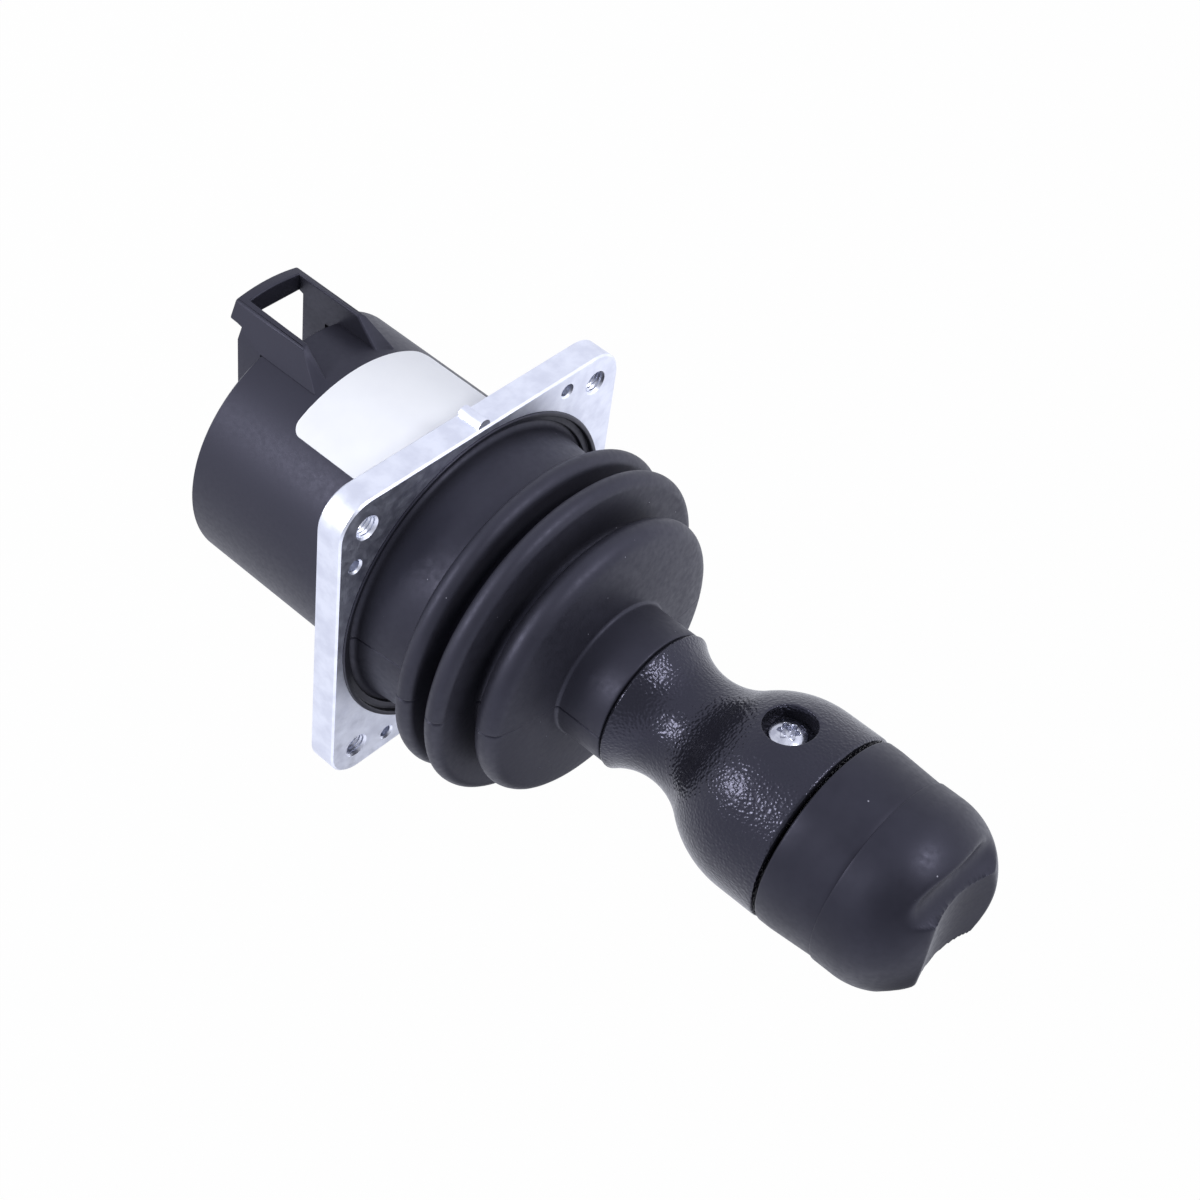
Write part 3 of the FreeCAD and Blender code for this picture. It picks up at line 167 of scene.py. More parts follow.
def surface(name, look):
    # A material from its look. Sizes in it are millimetres on the object.
    material = bpy.data.materials.new(name)
    material.use_nodes = True
    tree = material.node_tree
    shader = tree.nodes["Principled BSDF"]
    shader.inputs["Metallic"].default_value = look.get("metallic", 0.0)
    if "ior" in look:
        shader.inputs["IOR"].default_value = look["ior"]
    if "glint" in look:
        shader.inputs["Specular Tint"].default_value = toLinear(look["glint"])
    place = addNode(tree, "TexCoord").outputs["Object"]
    inMm = addNode(tree, "Mapping", {"Scale": (1000, 1000, 1000)}, {"Vector": place}).outputs["Vector"]
    patches = addNode(
        tree, "TexNoise", {"Scale": 1 / look["patch"], "Detail": 3.0, "Roughness": 0.6},
        {"Vector": inMm}).outputs["Fac"]
    spread = addNode(
        tree, "MapRange", {"From Min": 0.3, "From Max": 0.7}, {"Value": patches}, interpolation_type="SMOOTHSTEP")
    tint = addNode(
        tree, "Mix", {6: toLinear(look["colour"]), 7: toLinear(look["shade"])}, {0: spread.outputs[0]},
        data_type="RGBA")
    colour = tint.outputs[2]
    fine = addNode(
        tree, "TexNoise", {"Scale": 1 / look.get("mottle", look["patch"] / 6), "Detail": 4.0},
        {"Vector": inMm}).outputs["Fac"]
    low, high = look["roughness"]
    roughness = addNode(
        tree, "MapRange", {"From Min": 0.3, "From Max": 0.7, "To Min": low, "To Max": high},
        {"Value": fine}).outputs[0]
    heights = []
    if "grain" in look:
        # moulded grain: noise or rounded cells with this spacing and depth
        pitch, depth = look["grain"]
        if look.get("cells"):
            cells = addNode(
                tree, "TexVoronoi", {"Scale": 1 / pitch, "Smoothness": 0.6}, {"Vector": inMm}, feature="SMOOTH_F1")
            height = addNode(
                tree, "MapRange", {"From Min": 0.1, "From Max": 0.75, "To Min": 1.0, "To Max": 0.0},
                {"Value": cells.outputs["Distance"]}, interpolation_type="SMOOTHSTEP").outputs[0]
        else:
            height = addNode(
                tree, "TexNoise", {"Scale": 1 / pitch, "Detail": 2.0}, {"Vector": inMm}).outputs["Fac"]
        heights.append((height, depth))
    if "lines" in look:
        # tool marks: noise stretched along one axis, with this spacing and depth
        across, along, depth = look["lines"]
        stretched = addNode(tree, "Mapping", {"Scale": (1 / along, 1 / across, 1 / across)}, {"Vector": inMm})
        marks = addNode(tree, "TexNoise", {"Scale": 1.0, "Detail": 2.0}, {"Vector": stretched.outputs["Vector"]})
        heights.append((marks.outputs["Fac"], depth))
    if "dust" in look:
        # sparse specks: the cores of a few cells, picked by each cell's own random colour
        pitch, share, dustColour = look["dust"]
        bits = addNode(tree, "TexVoronoi", {"Scale": 1 / pitch}, {"Vector": inMm})
        core = addNode(
            tree, "MapRange", {"From Min": 0.10, "From Max": 0.06}, {"Value": bits.outputs["Distance"]})
        pick = addNode(tree, "SeparateColor", links={0: bits.outputs["Color"]}).outputs[0]
        few = addNode(tree, "Math", {1: 1 - share}, {0: pick}, operation="GREATER_THAN")
        speck = addNode(tree, "Math", links={0: core.outputs[0], 1: few.outputs[0]}, operation="MULTIPLY").outputs[0]
        dusty = addNode(tree, "Mix", {7: toLinear(dustColour)}, {0: speck, 6: colour}, data_type="RGBA")
        colour = dusty.outputs[2]
    tree.links.new(colour, shader.inputs["Base Color"])
    tree.links.new(roughness, shader.inputs["Roughness"])
    normal = None
    for height, depth in heights:
        bump = addNode(tree, "Bump", {"Strength": 1.0, "Distance": depth * mm}, {"Height": height})
        if normal:
            tree.links.new(normal, bump.inputs["Normal"])
        normal = bump.outputs["Normal"]
    if normal:
        tree.links.new(normal, shader.inputs["Normal"])
    return material


looks = {
    # milled aluminium, tumbled: satin, with smudges of uneven polish and fine cutter marks
    "tumbledAluminium": {
        "colour": "#E6E9F4", "shade": "#D6D9E6", "metallic": 1.0, "roughness": (0.33, 0.47), "patch": 6.0,
        "mottle": 2.6, "lines": (0.16, 4.0, 0.004)},
    # milled aluminium of the inner parts
    "machinedAluminium": {
        "colour": "#D9DADF", "shade": "#C9CBD2", "metallic": 1.0, "roughness": (0.27, 0.40), "patch": 14.0,
        "mottle": 0.9, "lines": (0.16, 6.0, 0.004)},
    # injection moulded nylon with glass fibre: matte, with a fine eroded grain
    "mouldedNylon": {
        "colour": "#1E1E25", "shade": "#25252D", "roughness": (0.42, 0.52), "patch": 60.0, "mottle": 1.2,
        "grain": (0.35, 0.012), "glint": "#DEDEFF"},
    # compression moulded rubber: soft black with a bloom and a little dust
    "gaiterRubber": {
        "colour": "#1D1D24", "shade": "#27272F", "roughness": (0.44, 0.56), "patch": 26.0, "mottle": 1.6,
        "grain": (0.5, 0.010), "dust": (1.5, 0.035, "#A6A6B4"), "glint": "#DEDEFF"},
    # glossy moulded plastic with a leather grain
    "grainedPlastic": {
        "colour": "#1B1B21", "shade": "#1F1F26", "roughness": (0.20, 0.26), "patch": 20.0, "mottle": 1.0,
        "grain": (0.80, 0.075), "cells": True, "glint": "#DEDEFF"},
    # soft touch overmould: matte, with dust on it
    "knobRubber": {
        "colour": "#1B1B22", "shade": "#24242C", "roughness": (0.38, 0.50), "patch": 12.0, "mottle": 1.4,
        "grain": (0.4, 0.006), "dust": (2.2, 0.05, "#A6A6B4"), "ior": 1.44, "glint": "#DEDEFF"},
    # dark moulded ring, a little smoother than the housing
    "ringPlastic": {
        "colour": "#18181E", "shade": "#1E1E25", "roughness": (0.34, 0.46), "patch": 12.0, "grain": (0.4, 0.01),
        "glint": "#DEDEFF"},
    # blank polyester film
    "labelFilm": {
        "colour": "#F3F5FA", "shade": "#EEF0F6", "roughness": (0.34, 0.44), "patch": 20.0, "grain": (1.2, 0.006)},
    # bright zinc on steel
    "zincSteel": {
        "colour": "#C6C8D2", "shade": "#A9ABB8", "metallic": 1.0, "roughness": (0.16, 0.26), "patch": 1.6,
        "grain": (0.5, 0.02)},
    # green solder mask on a woven board
    "boardLaminate": {
        "colour": "#14532D", "shade": "#1B6236", "roughness": (0.28, 0.38), "patch": 6.0, "grain": (0.5, 0.01)},
    # moulded epoxy
    "chipResin": {
        "colour": "#17171A", "shade": "#202024", "roughness": (0.5, 0.6), "patch": 3.0, "grain": (0.2, 0.01)},
    # tin plated brass
    "platedContact": {
        "colour": "#D9C58A", "shade": "#CDB674", "metallic": 1.0, "roughness": (0.2, 0.3), "patch": 1.5,
        "grain": (0.3, 0.004)},
    # centreless ground steel
    "groundSteel": {
        "colour": "#B9BBC0", "shade": "#A6A8AE", "metallic": 1.0, "roughness": (0.18, 0.3), "patch": 4.0,
        "lines": (0.1, 3.0, 0.003)},
    # drawn spring wire, oiled
    "springSteel": {
        "colour": "#8E8F94", "shade": "#77787D", "metallic": 1.0, "roughness": (0.22, 0.34), "patch": 2.0,
        "grain": (0.3, 0.004)},
    # sintered bronze
    "bronze": {
        "colour": "#A9793F", "shade": "#936634", "metallic": 1.0, "roughness": (0.32, 0.44), "patch": 2.0,
        "grain": (0.2, 0.01)},
    # nickel on a sintered magnet
    "magnetPlating": {
        "colour": "#C8C8C4", "shade": "#B8B8B4", "metallic": 1.0, "roughness": (0.12, 0.22), "patch": 2.0,
        "grain": (0.3, 0.004)},
    # turned acetal
    "bearingPlastic": {
        "colour": "#E4E2DA", "shade": "#D9D6CC", "roughness": (0.3, 0.42), "patch": 5.0, "grain": (0.3, 0.006)},
    # plain black rubber of the seals
    "sealRubber": {
        "colour": "#101012", "shade": "#18181B", "roughness": (0.5, 0.62), "patch": 5.0, "grain": (0.3, 0.01)},
    # glass filled plastic of the handle's inside
    "plainPlastic": {
        "colour": "#101013", "shade": "#16161A", "roughness": (0.34, 0.44), "patch": 6.0, "grain": (0.3, 0.008)},
}
materials = {name: surface(name, look) for name, look in looks.items()}
print("materials:", len(materials))

nodeMaterials = {
    "tumbledAluminium": ["mounting_plate"],
    "machinedAluminium": ["gimbal_frame", "gimbal_ring", "stick_hub"],
    "mouldedNylon": ["housing", "rear_cover"],
    "sealRubber": ["housing_gasket", "cover_seal"],
    "gaiterRubber": ["gaiter"],
    "ringPlastic": ["gaiter_ring", "connector_header"],
    "labelFilm": ["label"],
    "zincSteel": [
        "frame_screws", "housing_screws", "cover_screws", "board_screws", "gate_screws", "handle_screw",
        "bearing_screws", "knob_screw"],
    "boardLaminate": ["circuit_board", "twist_board"],
    "chipResin": ["sensor_chips", "board_chips", "twist_chip"],
    "platedContact": ["connector_pins"],
    "groundSteel": [
        "pitch_pins", "roll_pins", "hub_pin", "stick_shaft", "limit_gate", "knob_spindle", "stop_pin"],
    "springSteel": ["pitch_spring", "roll_spring", "twist_spring", "spindle_clip"],
    "bronze": ["pitch_bushes", "roll_bushes"],
    "magnetPlating": ["stick_magnet", "twist_magnet"],
    "bearingPlastic": ["magnet_holder", "bearing_plate", "thrust_washer"],
    "plainPlastic": ["neck_sleeve", "knob_core"],
    "grainedPlastic": ["handle_shell"],
    "knobRubber": ["knob_cap"],
}
for materialName, nodeNames in nodeMaterials.items():
    for nodeName in nodeNames:
        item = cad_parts[nodeName]
        item.data.materials.clear()
        item.data.materials.append(materials[materialName])
missing = set(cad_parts) - {name for names in nodeMaterials.values() for name in names}
print("nodes without a material:", sorted(missing))


# Gaiter
gaiterShape = {
    "wall": 1.8, "seat": -3.0, "flange": 43.7, "flangeTop": -1.8, "foot": 40.2, "footFillet": 2.0, "top": 38.8,
    "rootRadius": 3.0, "rootHeight": 14.6, "wave": 2.8, "firstWave": 43.5, "secondWave": 43.4,
    "valley": (38.5, 2.05), "upperValley": (33.5, 1.9), "shoulder": (35.2, 4.0), "dome": 60.0,
    "domeStart": 78, "domeEnd": 86, "neckFillet": 1.0, "neck": 19.0, "neckTop": 60.2,
    "lip": 0.5, "columns": 240,
    # mould parting line: two azimuths, half width in degrees at a radius, and depth of its groove
    "partings": (177.5, -2.5), "partingHalf": 0.46, "partingRadius": 40.0, "partingDepth": 0.42,
    # unevenness of soft rubber: depth, the height where it starts and the run over which it grows,
    # and how far the whole skin lies below its profile
    "waver": 0.10, "waverFoot": 4.0, "waverRun": 6.0, "sink": 0.06,
    # two heights and half a gap at the split, handed with each piece to meshPiece as between, which reads none of them
    # and only bakes the piece in place; nothing bends the gaiter
    "bendStart": 1.0, "bendEnd": 46.0, "bendGap": 0.4,
}


def gaiterProfiles(g, inset):
    # the outer face (inset 0) or the inner face as two chains, up to and from the middle valley
    wave = g["wave"]
    root = (g["top"] + g["rootRadius"], g["rootHeight"])
    first = (g["firstWave"], root[1] + g["rootRadius"] + wave)
    middle = (g["valley"][0], first[1] + wave + g["valley"][1])
    second = (g["secondWave"], middle[1] + g["valley"][1] + wave)
    high = (g["upperValley"][0], second[1] + wave + g["upperValley"][1])
    turn = g["shoulder"][1]
    shoulder = (g["shoulder"][0], high[1] + g["upperValley"][1] + turn)
    tip = arcPoints(shoulder, turn, g["domeStart"], g["domeStart"], 1)[0]
    dome = arcPoints(tip, g["dome"], g["domeStart"] + 180, g["domeStart"] + 180, 1)[0]
    crest = arcPoints(dome, g["dome"], g["domeEnd"], g["domeEnd"], 1)[0]
    fillet, end = g["neckFillet"], g["domeEnd"]
    neckX = g["neck"] + fillet
    footX = neckX + fillet * np.cos(np.radians(180 + end))
    footZ = crest[1] + (crest[0] - footX) / np.tan(np.radians(end))
    neck = (neckX, footZ - fillet * np.sin(np.radians(180 + end)))
    blend = g["footFillet"]
    foot = np.array([[g["foot"] - inset, g["flangeTop"] + blend], [g["top"] - inset, g["rootHeight"]]])
    lower = [
        dense(foot, 1.0)[:-1],
        arcPoints(root, g["rootRadius"] + inset, 180, 90, 9),
        arcPoints(first, wave - inset, -90, 90, 25),
        arcPoints(middle, g["valley"][1] + inset, 270, 180, 8),
    ]
    upper = [
        arcPoints(middle, g["valley"][1] + inset, 180, 90, 8),
        arcPoints(second, wave - inset, -90, 90, 25),
        arcPoints(high, g["upperValley"][1] + inset, 270, 90, 15),
        arcPoints(shoulder, turn - inset, -90, g["domeStart"], 19),
        arcPoints(dome, g["dome"] - inset, g["domeStart"], end, 13),
        arcPoints(neck, fillet + inset, 180 + end, 180, 9),
        dense(np.array([[g["neck"] - inset, neck[1]], [g["neck"] - inset, g["neckTop"]]]), 1.2)[1:],
    ]
    return np.vstack(lower), np.vstack(upper)


def rubberSkin(g, points):
    # soft rubber: every point moves along its radius by slow waves, and sinks at the parting lines
    x, y, z = points[..., 0], points[..., 1], points[..., 2]
    azimuth, radius = np.degrees(np.arctan2(y, x)), np.hypot(x, y)
    a = np.radians(azimuth)
    free = np.clip((z - g["waverFoot"]) / g["waverRun"], 0, 1)
    free = free * np.clip((g["neckTop"] - z) / g["waverRun"], 0, 1)
    shift = g["waver"] * free * (
        np.sin(3 * a + 0.11 * z) + 0.6 * np.sin(7 * a - 0.23 * z + 1.0) + 0.4 * np.sin(13 * a + 0.4 * z)) / 2
    for line in g["partings"]:
        gap = (azimuth - line + 180) % 360 - 180
        away = np.abs(gap) * radius / (g["partingHalf"] * g["partingRadius"])
        shift = shift - g["partingDepth"] * np.clip(1 - away, 0, 1)
    scale = (1 + (shift - g["sink"]) / radius)[..., None]
    return np.concatenate([points[..., :2] * scale, points[..., 2:]], -1)


def gaiterColumns(g):
    # even azimuths with close ones added at the parting lines
    half = g["partingHalf"]
    extra = [line + k * half for line in g["partings"] for k in (-2.2, -1, -0.5, 0, 0.5, 1, 2.2)]
    plain = np.arange(g["columns"]) * 360 / g["columns"] - 180
    near = np.min(np.abs((plain[:, None] - np.array(g["partings"]) + 180) % 360 - 180), axis=1)
    return np.sort(np.concatenate([plain[near > 2.5 * half], (np.array(extra) + 180) % 360 - 180]))


def makeGaiter(g):
    outer, inner = gaiterProfiles(g, 0.0), gaiterProfiles(g, g["wall"])
    blend, level = g["footFillet"], g["flangeTop"]
    foot = np.array([
        [g["foot"] - g["wall"], g["seat"]], [g["flange"], g["seat"]], [g["flange"], level], [g["foot"] + blend, level]])
    fillet = arcPoints((g["foot"] + blend, level + blend), blend, 270, 180, 8)
    lowerLoop = np.vstack([rounded(foot, (0, 0.2, 0.2, 0))[:-1], fillet[:-1], outer[0], inner[0][::-1]])
    lipFoot, halfWall = g["neckTop"] - g["lip"], g["wall"] / 2
    lip = arcPoints((g["neck"] - halfWall, lipFoot), halfWall, 0, 180, 9)
    lip[:, 1] = lipFoot + (lip[:, 1] - lipFoot) * g["lip"] / halfWall
    upperLoop = np.vstack([outer[1][:-1], lip, inner[1][::-1]])
    columns = gaiterColumns(g)
    split = outer[0][-1, 1]
    for name, loop, bodies, start, end in (
        ("gaiterLower", lowerLoop, ("base", "gimbal"), g["bendStart"], split - g["bendGap"]),
        ("gaiterUpper", upperLoop, ("gimbal", "stick"), split + g["bendGap"], g["bendEnd"]),
    ):
        grid = rubberSkin(g, turned(loop, columns))
        faces = gridFaces(len(loop), len(columns), loopRows=True)
        meshPiece(
            name, grid.reshape(-1, 3), faces, None, materials["gaiterRubber"], ["gaiter"],
            sharp=40, between=(*bodies, (0, 0, start * mm), (0, 0, end * mm)))


makeGaiter(gaiterShape)
print("gaiter done")


# Ring that clamps the gaiter's flange with a lip inside its bore
ringShape = {
    "lip": 42.0, "bore": 43.9, "outside": 45.2, "seat": -3.0, "top": 0.5, "lipTop": -0.9, "lipFoot": -1.6,
    "roundings": (0, 0, 0.35, 0.3, 0.2, 0.3, 0.15, 0), "columns": 240,
}


def makeGaiterRing(r):
    corners = np.array([
        (r["bore"], r["seat"]), (r["outside"], r["seat"]), (r["outside"], r["top"]), (r["bore"], r["top"]),
        (r["bore"], r["lipTop"]), (r["lip"], r["lipTop"]), (r["lip"], r["lipFoot"]), (r["bore"], r["lipFoot"])])
    outline = rounded(corners, r["roundings"], 7)
    grid = turned(outline, np.arange(r["columns"]) * 360 / r["columns"])
    faces = gridFaces(len(outline), r["columns"], loopRows=True)
    meshPiece(
        "gaiterRing", grid.reshape(-1, 3), faces, "base", materials["ringPlastic"],
        ["gaiter_ring"], sharp=40)


makeGaiterRing(ringShape)


# Handle
handleShape = {
    "foot": 60.5, "edge": 0.8, "waist": (33.6, 72.9), "barrelRadius": 25.4, "barrelHeight": 102.0,
    "barrelCurve": 28.0, "top": 113.3, "well": 21.5, "wellFloor": 106.2, "pocket": 12.0,
    "pocketFloor": 102.5, "bore": 6.05, "columns": 192,
    # counterbore of the clamp screw: height, radius, seat and rounding of its rim
    "screwHeight": 98.5, "recess": 6.45, "seat": 19.4, "rim": 0.35,
    # the window that frames the counterbore: half its height, and its columns each side of +Y
    "window": 9.0, "windowColumns": 11,
}


def handleOutline(h):
    # the outer face from foot to top: an arc of the waist, an arc of the barrel that touches it,
    # and a straight run
    waist, curve = np.array(h["waist"]), h["barrelCurve"]
    barrel = np.array([h["barrelRadius"] - curve, h["barrelHeight"]])
    waistRadius = hypot(*(waist - barrel)) - curve
    lean = degrees(atan2(barrel[1] - waist[1], barrel[0] - waist[0]))
    drop = waist[1] - h["foot"] - h["edge"]
    first = 180 + degrees(atan2(drop, sqrt(waistRadius ** 2 - drop ** 2)))
    return np.vstack([
        arcPoints(waist, waistRadius, first, lean, 30),
        arcPoints(barrel, curve, lean - 180, 0, 30)[1:],
        np.array([[h["barrelRadius"], h["top"] - h["edge"]]]),
    ])


def makeHandle(h):
    outer = handleOutline(h)
    radiusAt = lambda z: np.interp(z, outer[:, 1], outer[:, 0])
    # the outer face has rows at even heights round the counterbore, whose window they frame
    low, high = h["screwHeight"] - h["window"], h["screwHeight"] + h["window"]
    heights = np.concatenate([
        outer[outer[:, 1] < low - 0.3, 1], np.linspace(low, high, 23), np.linspace(high + 0.9, outer[-1, 1], 6)])
    rows = np.column_stack([radiusAt(heights), heights])
    first, last = int(np.argmin(abs(heights - low))), int(np.argmin(abs(heights - high)))
    edge, rim = h["edge"], rows[0]
    footRound = arcPoints((rim[0] - edge, h["foot"] + edge), edge, -90, -10, 5)
    topRound = arcPoints((h["barrelRadius"] - edge, h["top"] - edge), edge, 0, 90, 7)[1:]
    inner = np.array([
        (h["well"] + 0.4, h["top"]), (h["well"], h["top"] - 0.4), (h["well"], h["wellFloor"]),
        (h["pocket"], h["wellFloor"]), (h["pocket"], h["pocketFloor"]), (h["bore"], h["pocketFloor"]),
        (h["bore"], h["foot"])])
    before = len(footRound)
    profile = np.vstack([footRound, rows, topRound, inner])
    count = h["columns"]
    angles = np.arange(count) * 360 / count
    grid = turned(profile, angles)
    faces = gridFaces(len(profile), count, loopRows=True)
    # the window: some columns each side of +Y between two rows of the outer face
    left, right = count // 4 - h["windowColumns"], count // 4 + h["windowColumns"]
    a, b = faces[:, 0] // count, faces[:, 0] % count
    window = (a >= before + first) & (a < before + last) & (b >= left) & (b < right)
    faces = faces[~window]
    down, up = before + first, before + last
    ring = (
        [down * count + c for c in range(left, right)] + [r * count + right for r in range(down, up)]
        + [up * count + c for c in range(right, left, -1)] + [r * count + left for r in range(up, down, -1)])
    border = grid.reshape(-1, 3)[ring]
    # rings that go from the window's border to the recess, over its rim and down to its seat
    turn = np.arctan2(border[:, 2] - h["screwHeight"], border[:, 0])
    unit = np.column_stack([np.cos(turn), np.sin(turn)])
    centre = np.array([0.0, h["screwHeight"]])

    def onFace(flat):
        # a point over the face, given by x and z, dropped on it
        return np.sqrt(radiusAt(flat[:, 1]) ** 2 - flat[:, 0] ** 2)

    rings = []
    outerFlat, rimFlat = border[:, [0, 2]], centre + unit * (h["recess"] + h["rim"])
    for share in np.linspace(0, 1, 8)[1:]:
        flat = outerFlat + (rimFlat - outerFlat) * share
        rings.append(np.column_stack([flat[:, 0], onFace(flat), flat[:, 1]]))
    for angle in np.radians([25, 50, 75, 90]):
        flat = centre + unit * (h["recess"] + h["rim"] * (1 - np.sin(angle)))
        rings.append(np.column_stack([flat[:, 0], onFace(rimFlat) - h["rim"] * (1 - np.cos(angle)), flat[:, 1]]))
    wallTop = rings[-1][:, 1]
    for share in (0.33, 0.66, 1.0):
        flat = centre + unit * h["recess"]
        rings.append(np.column_stack([flat[:, 0], wallTop + (h["seat"] - wallTop) * share, flat[:, 1]]))
    for radius in (4.0, 2.0, 0.02):
        flat = centre + unit * radius
        rings.append(np.column_stack([flat[:, 0], np.full(len(flat), h["seat"]), flat[:, 1]]))
    total, ringCount = len(profile) * count, len(ring)
    added = total + np.arange(len(rings) * ringCount).reshape(-1, ringCount)
    index = np.vstack([ring, added])
    following = np.roll(index, -1, axis=1)
    patch = np.stack([index[:-1], following[:-1], following[1:], index[1:]], -1).reshape(-1, 4)
    centreFace = [list(index[-1])]
    points = np.vstack([grid.reshape(-1, 3)] + rings)
    meshPiece(
        "handleShell", points, faces.tolist() + patch.tolist() + centreFace, "stick",
        materials["grainedPlastic"], ["handle_shell"], sharp=38)


makeHandle(handleShape)
print("handle done")


# Clamp screw: a domed head with a six-lobe recess
screwShape = {
    "head": 4.75, "crown": 3.0, "fall": 17.0, "domeEdge": 4.4, "shank": 2.5, "shankEnd": -16.0, "columns": 96,
    # recess: mean radius, depth of its lobes and width of the bevel round it
    "lobe": 2.35, "lobeDepth": 0.42, "bevel": 0.14,
    # rounding of the head's edge: radius and height of its centre, and its own radius
    "edge": (4.3, 1.42, 0.45),
}


def makeHandleScrew(s, seat, place):
    count = s["columns"]
    a = np.radians(np.arange(count) * 360 / count)
    lobes = s["lobe"] + s["lobeDepth"] * np.cos(6 * a)
    bevelled = lobes + s["bevel"]

    def domed(radius):
        # the crown's height in the middle, falling by radius squared over the fall
        return s["crown"] - radius ** 2 / s["fall"]

    # rows of (radius at each angle, height over the seat)
    rows = [(lobes * 0.02, 0.35), (lobes * 0.55, 0.5), (lobes * 0.93, 0.65), (lobes, 0.9)]
    rows += [(lobes + 0.04, domed(lobes) - 0.12), (bevelled, domed(bevelled))]
    for share in np.linspace(0.15, 1, 9):
        radius = bevelled + (s["domeEdge"] - bevelled) * share
        rows.append((radius, domed(radius)))
    edgeRadius, edgeHeight, edgeRound = s["edge"]
    for angle in np.radians(np.linspace(40, 90, 5)):
        rows.append((edgeRadius + edgeRound * np.sin(angle) + 0 * a, edgeHeight + edgeRound * np.cos(angle)))
    for radius, height in (
        (s["head"], 0.25), (s["head"] - 0.15, 0.02), (s["shank"], 0.02), (s["shank"], s["shankEnd"]),
        (0.05, s["shankEnd"]),
    ):
        rows.append((radius + 0 * a, height))
    points = np.vstack([
        np.column_stack([r * np.cos(a), np.full(count, seat + h), place + r * np.sin(a)]) for r, h in rows])
    faces = gridFaces(len(rows), count).tolist()
    faces += [list(range(count)), [(len(rows) - 1) * count + k for k in range(count)]]
    meshPiece(
        "clampScrew", points, faces, "stick", materials["zincSteel"], ["handle_screw"], sharp=38)


makeHandleScrew(screwShape, handleShape["seat"], handleShape["screwHeight"])


# Knob cap
knobShape = {
    "foot": 114.3, "skirt": 25.4, "edge": 0.7, "skirtTop": 118.0, "seam": 130.2, "seamRadius": 24.6,
    "step": 0.35, "crown": (6.3, 135.8), "rise": 1.6, "saddleHeight": 149.9, "saddleRadius": 30.5,
    "scoopRadius": 4.9, "scoopPlace": 16.3, "scoopFloor": 146.7, "soft": 1.8,
    "core": 21.05, "coreShoulder": 132.05, "coreTop": 141.05, "narrow": 13.55, "room": 4.0, "roomTop": 143.5,
}


def softMin(a, b, width):
    # the lower of two heights, with the crease between them rounded over the given width
    h = np.clip(0.5 + 0.5 * (b - a) / width, 0, 1)
    return b * (1 - h) + a * h - width * h * (1 - h)


def makeKnob(k):
    crown, radius = np.array(k["crown"]), k["seamRadius"] + k["step"] - k["crown"][0]
    inside = dense(np.array([
        (0.0, k["roomTop"]), (k["room"], k["roomTop"]), (k["room"], k["coreTop"]), (k["narrow"], k["coreTop"]),
        (k["core"], k["coreShoulder"]), (k["core"], k["foot"])]), 8.0)
    skirt = np.vstack([
        arcPoints((k["skirt"] - k["edge"], k["foot"] + k["edge"]), k["edge"], -90, 0, 8),
        dense(np.array([(k["skirt"], k["skirtTop"]), (k["seamRadius"], k["seam"] - 0.25)]), 1.2),
        arcPoints((k["seamRadius"] + 0.05, k["seam"] - 0.05), 0.12, 200, 100, 4),
        arcPoints((k["seamRadius"] + k["step"] - 0.2, k["seam"] + 0.22), 0.2, -90, 0, 5),
        dense(np.array([(crown[0] + radius, k["seam"] + 0.6), (crown[0] + radius, crown[1])]), 1.2)[:-1],
    ])
    arch = arcPoints(crown, radius, 0, 90, 40)
    roof = dense(np.array([(crown[0], crown[1] + radius), (0.0, crown[1] + radius + k["rise"])]), 0.55)[1:]
    profile = np.vstack([inside, skirt, arch, roof])
    columns = np.arange(240) * 1.5
    grid = turned(profile, columns)
    top = slice(len(inside) + len(skirt), None)
    x, y, z = grid[top, :, 0], grid[top, :, 1], grid[top, :, 2]
    saddle = k["saddleHeight"] + k["saddleRadius"] - np.sqrt(k["saddleRadius"] ** 2 - np.clip(x, -32, 32) ** 2)
    height = softMin(z, saddle, 0.8)
    for side in (1, -1):
        off = np.clip(np.abs(y - side * k["scoopPlace"]), 0, k["scoopRadius"] - 0.01)
        scoop = k["scoopFloor"] + k["scoopRadius"] - np.sqrt(k["scoopRadius"] ** 2 - off ** 2)
        scoop = np.where(np.abs(y - side * k["scoopPlace"]) < k["scoopRadius"] - 0.01, scoop, 200.0)
        height = softMin(height, scoop, k["soft"])
    grid[top, :, 2] = height
    meshPiece(
        "knobCap", grid.reshape(-1, 3), gridFaces(len(profile), 240), "knob", materials["knobRubber"],
        ["knob_cap"], sharp=50)


makeKnob(knobShape)
print("knob done")


# Housing: the moulding with the edges of its guard rounded
guardEdges = {
    # the guard is what lies above this y and behind this z; sharper edges than the corner are its own
    "above": 35.5, "behind": -20.0, "corner": 30, "radius": 0.55,
    # angles under which faces are merged first, and over which shading stays sharp
    "flat": 0.6, "sharp": 33,
}


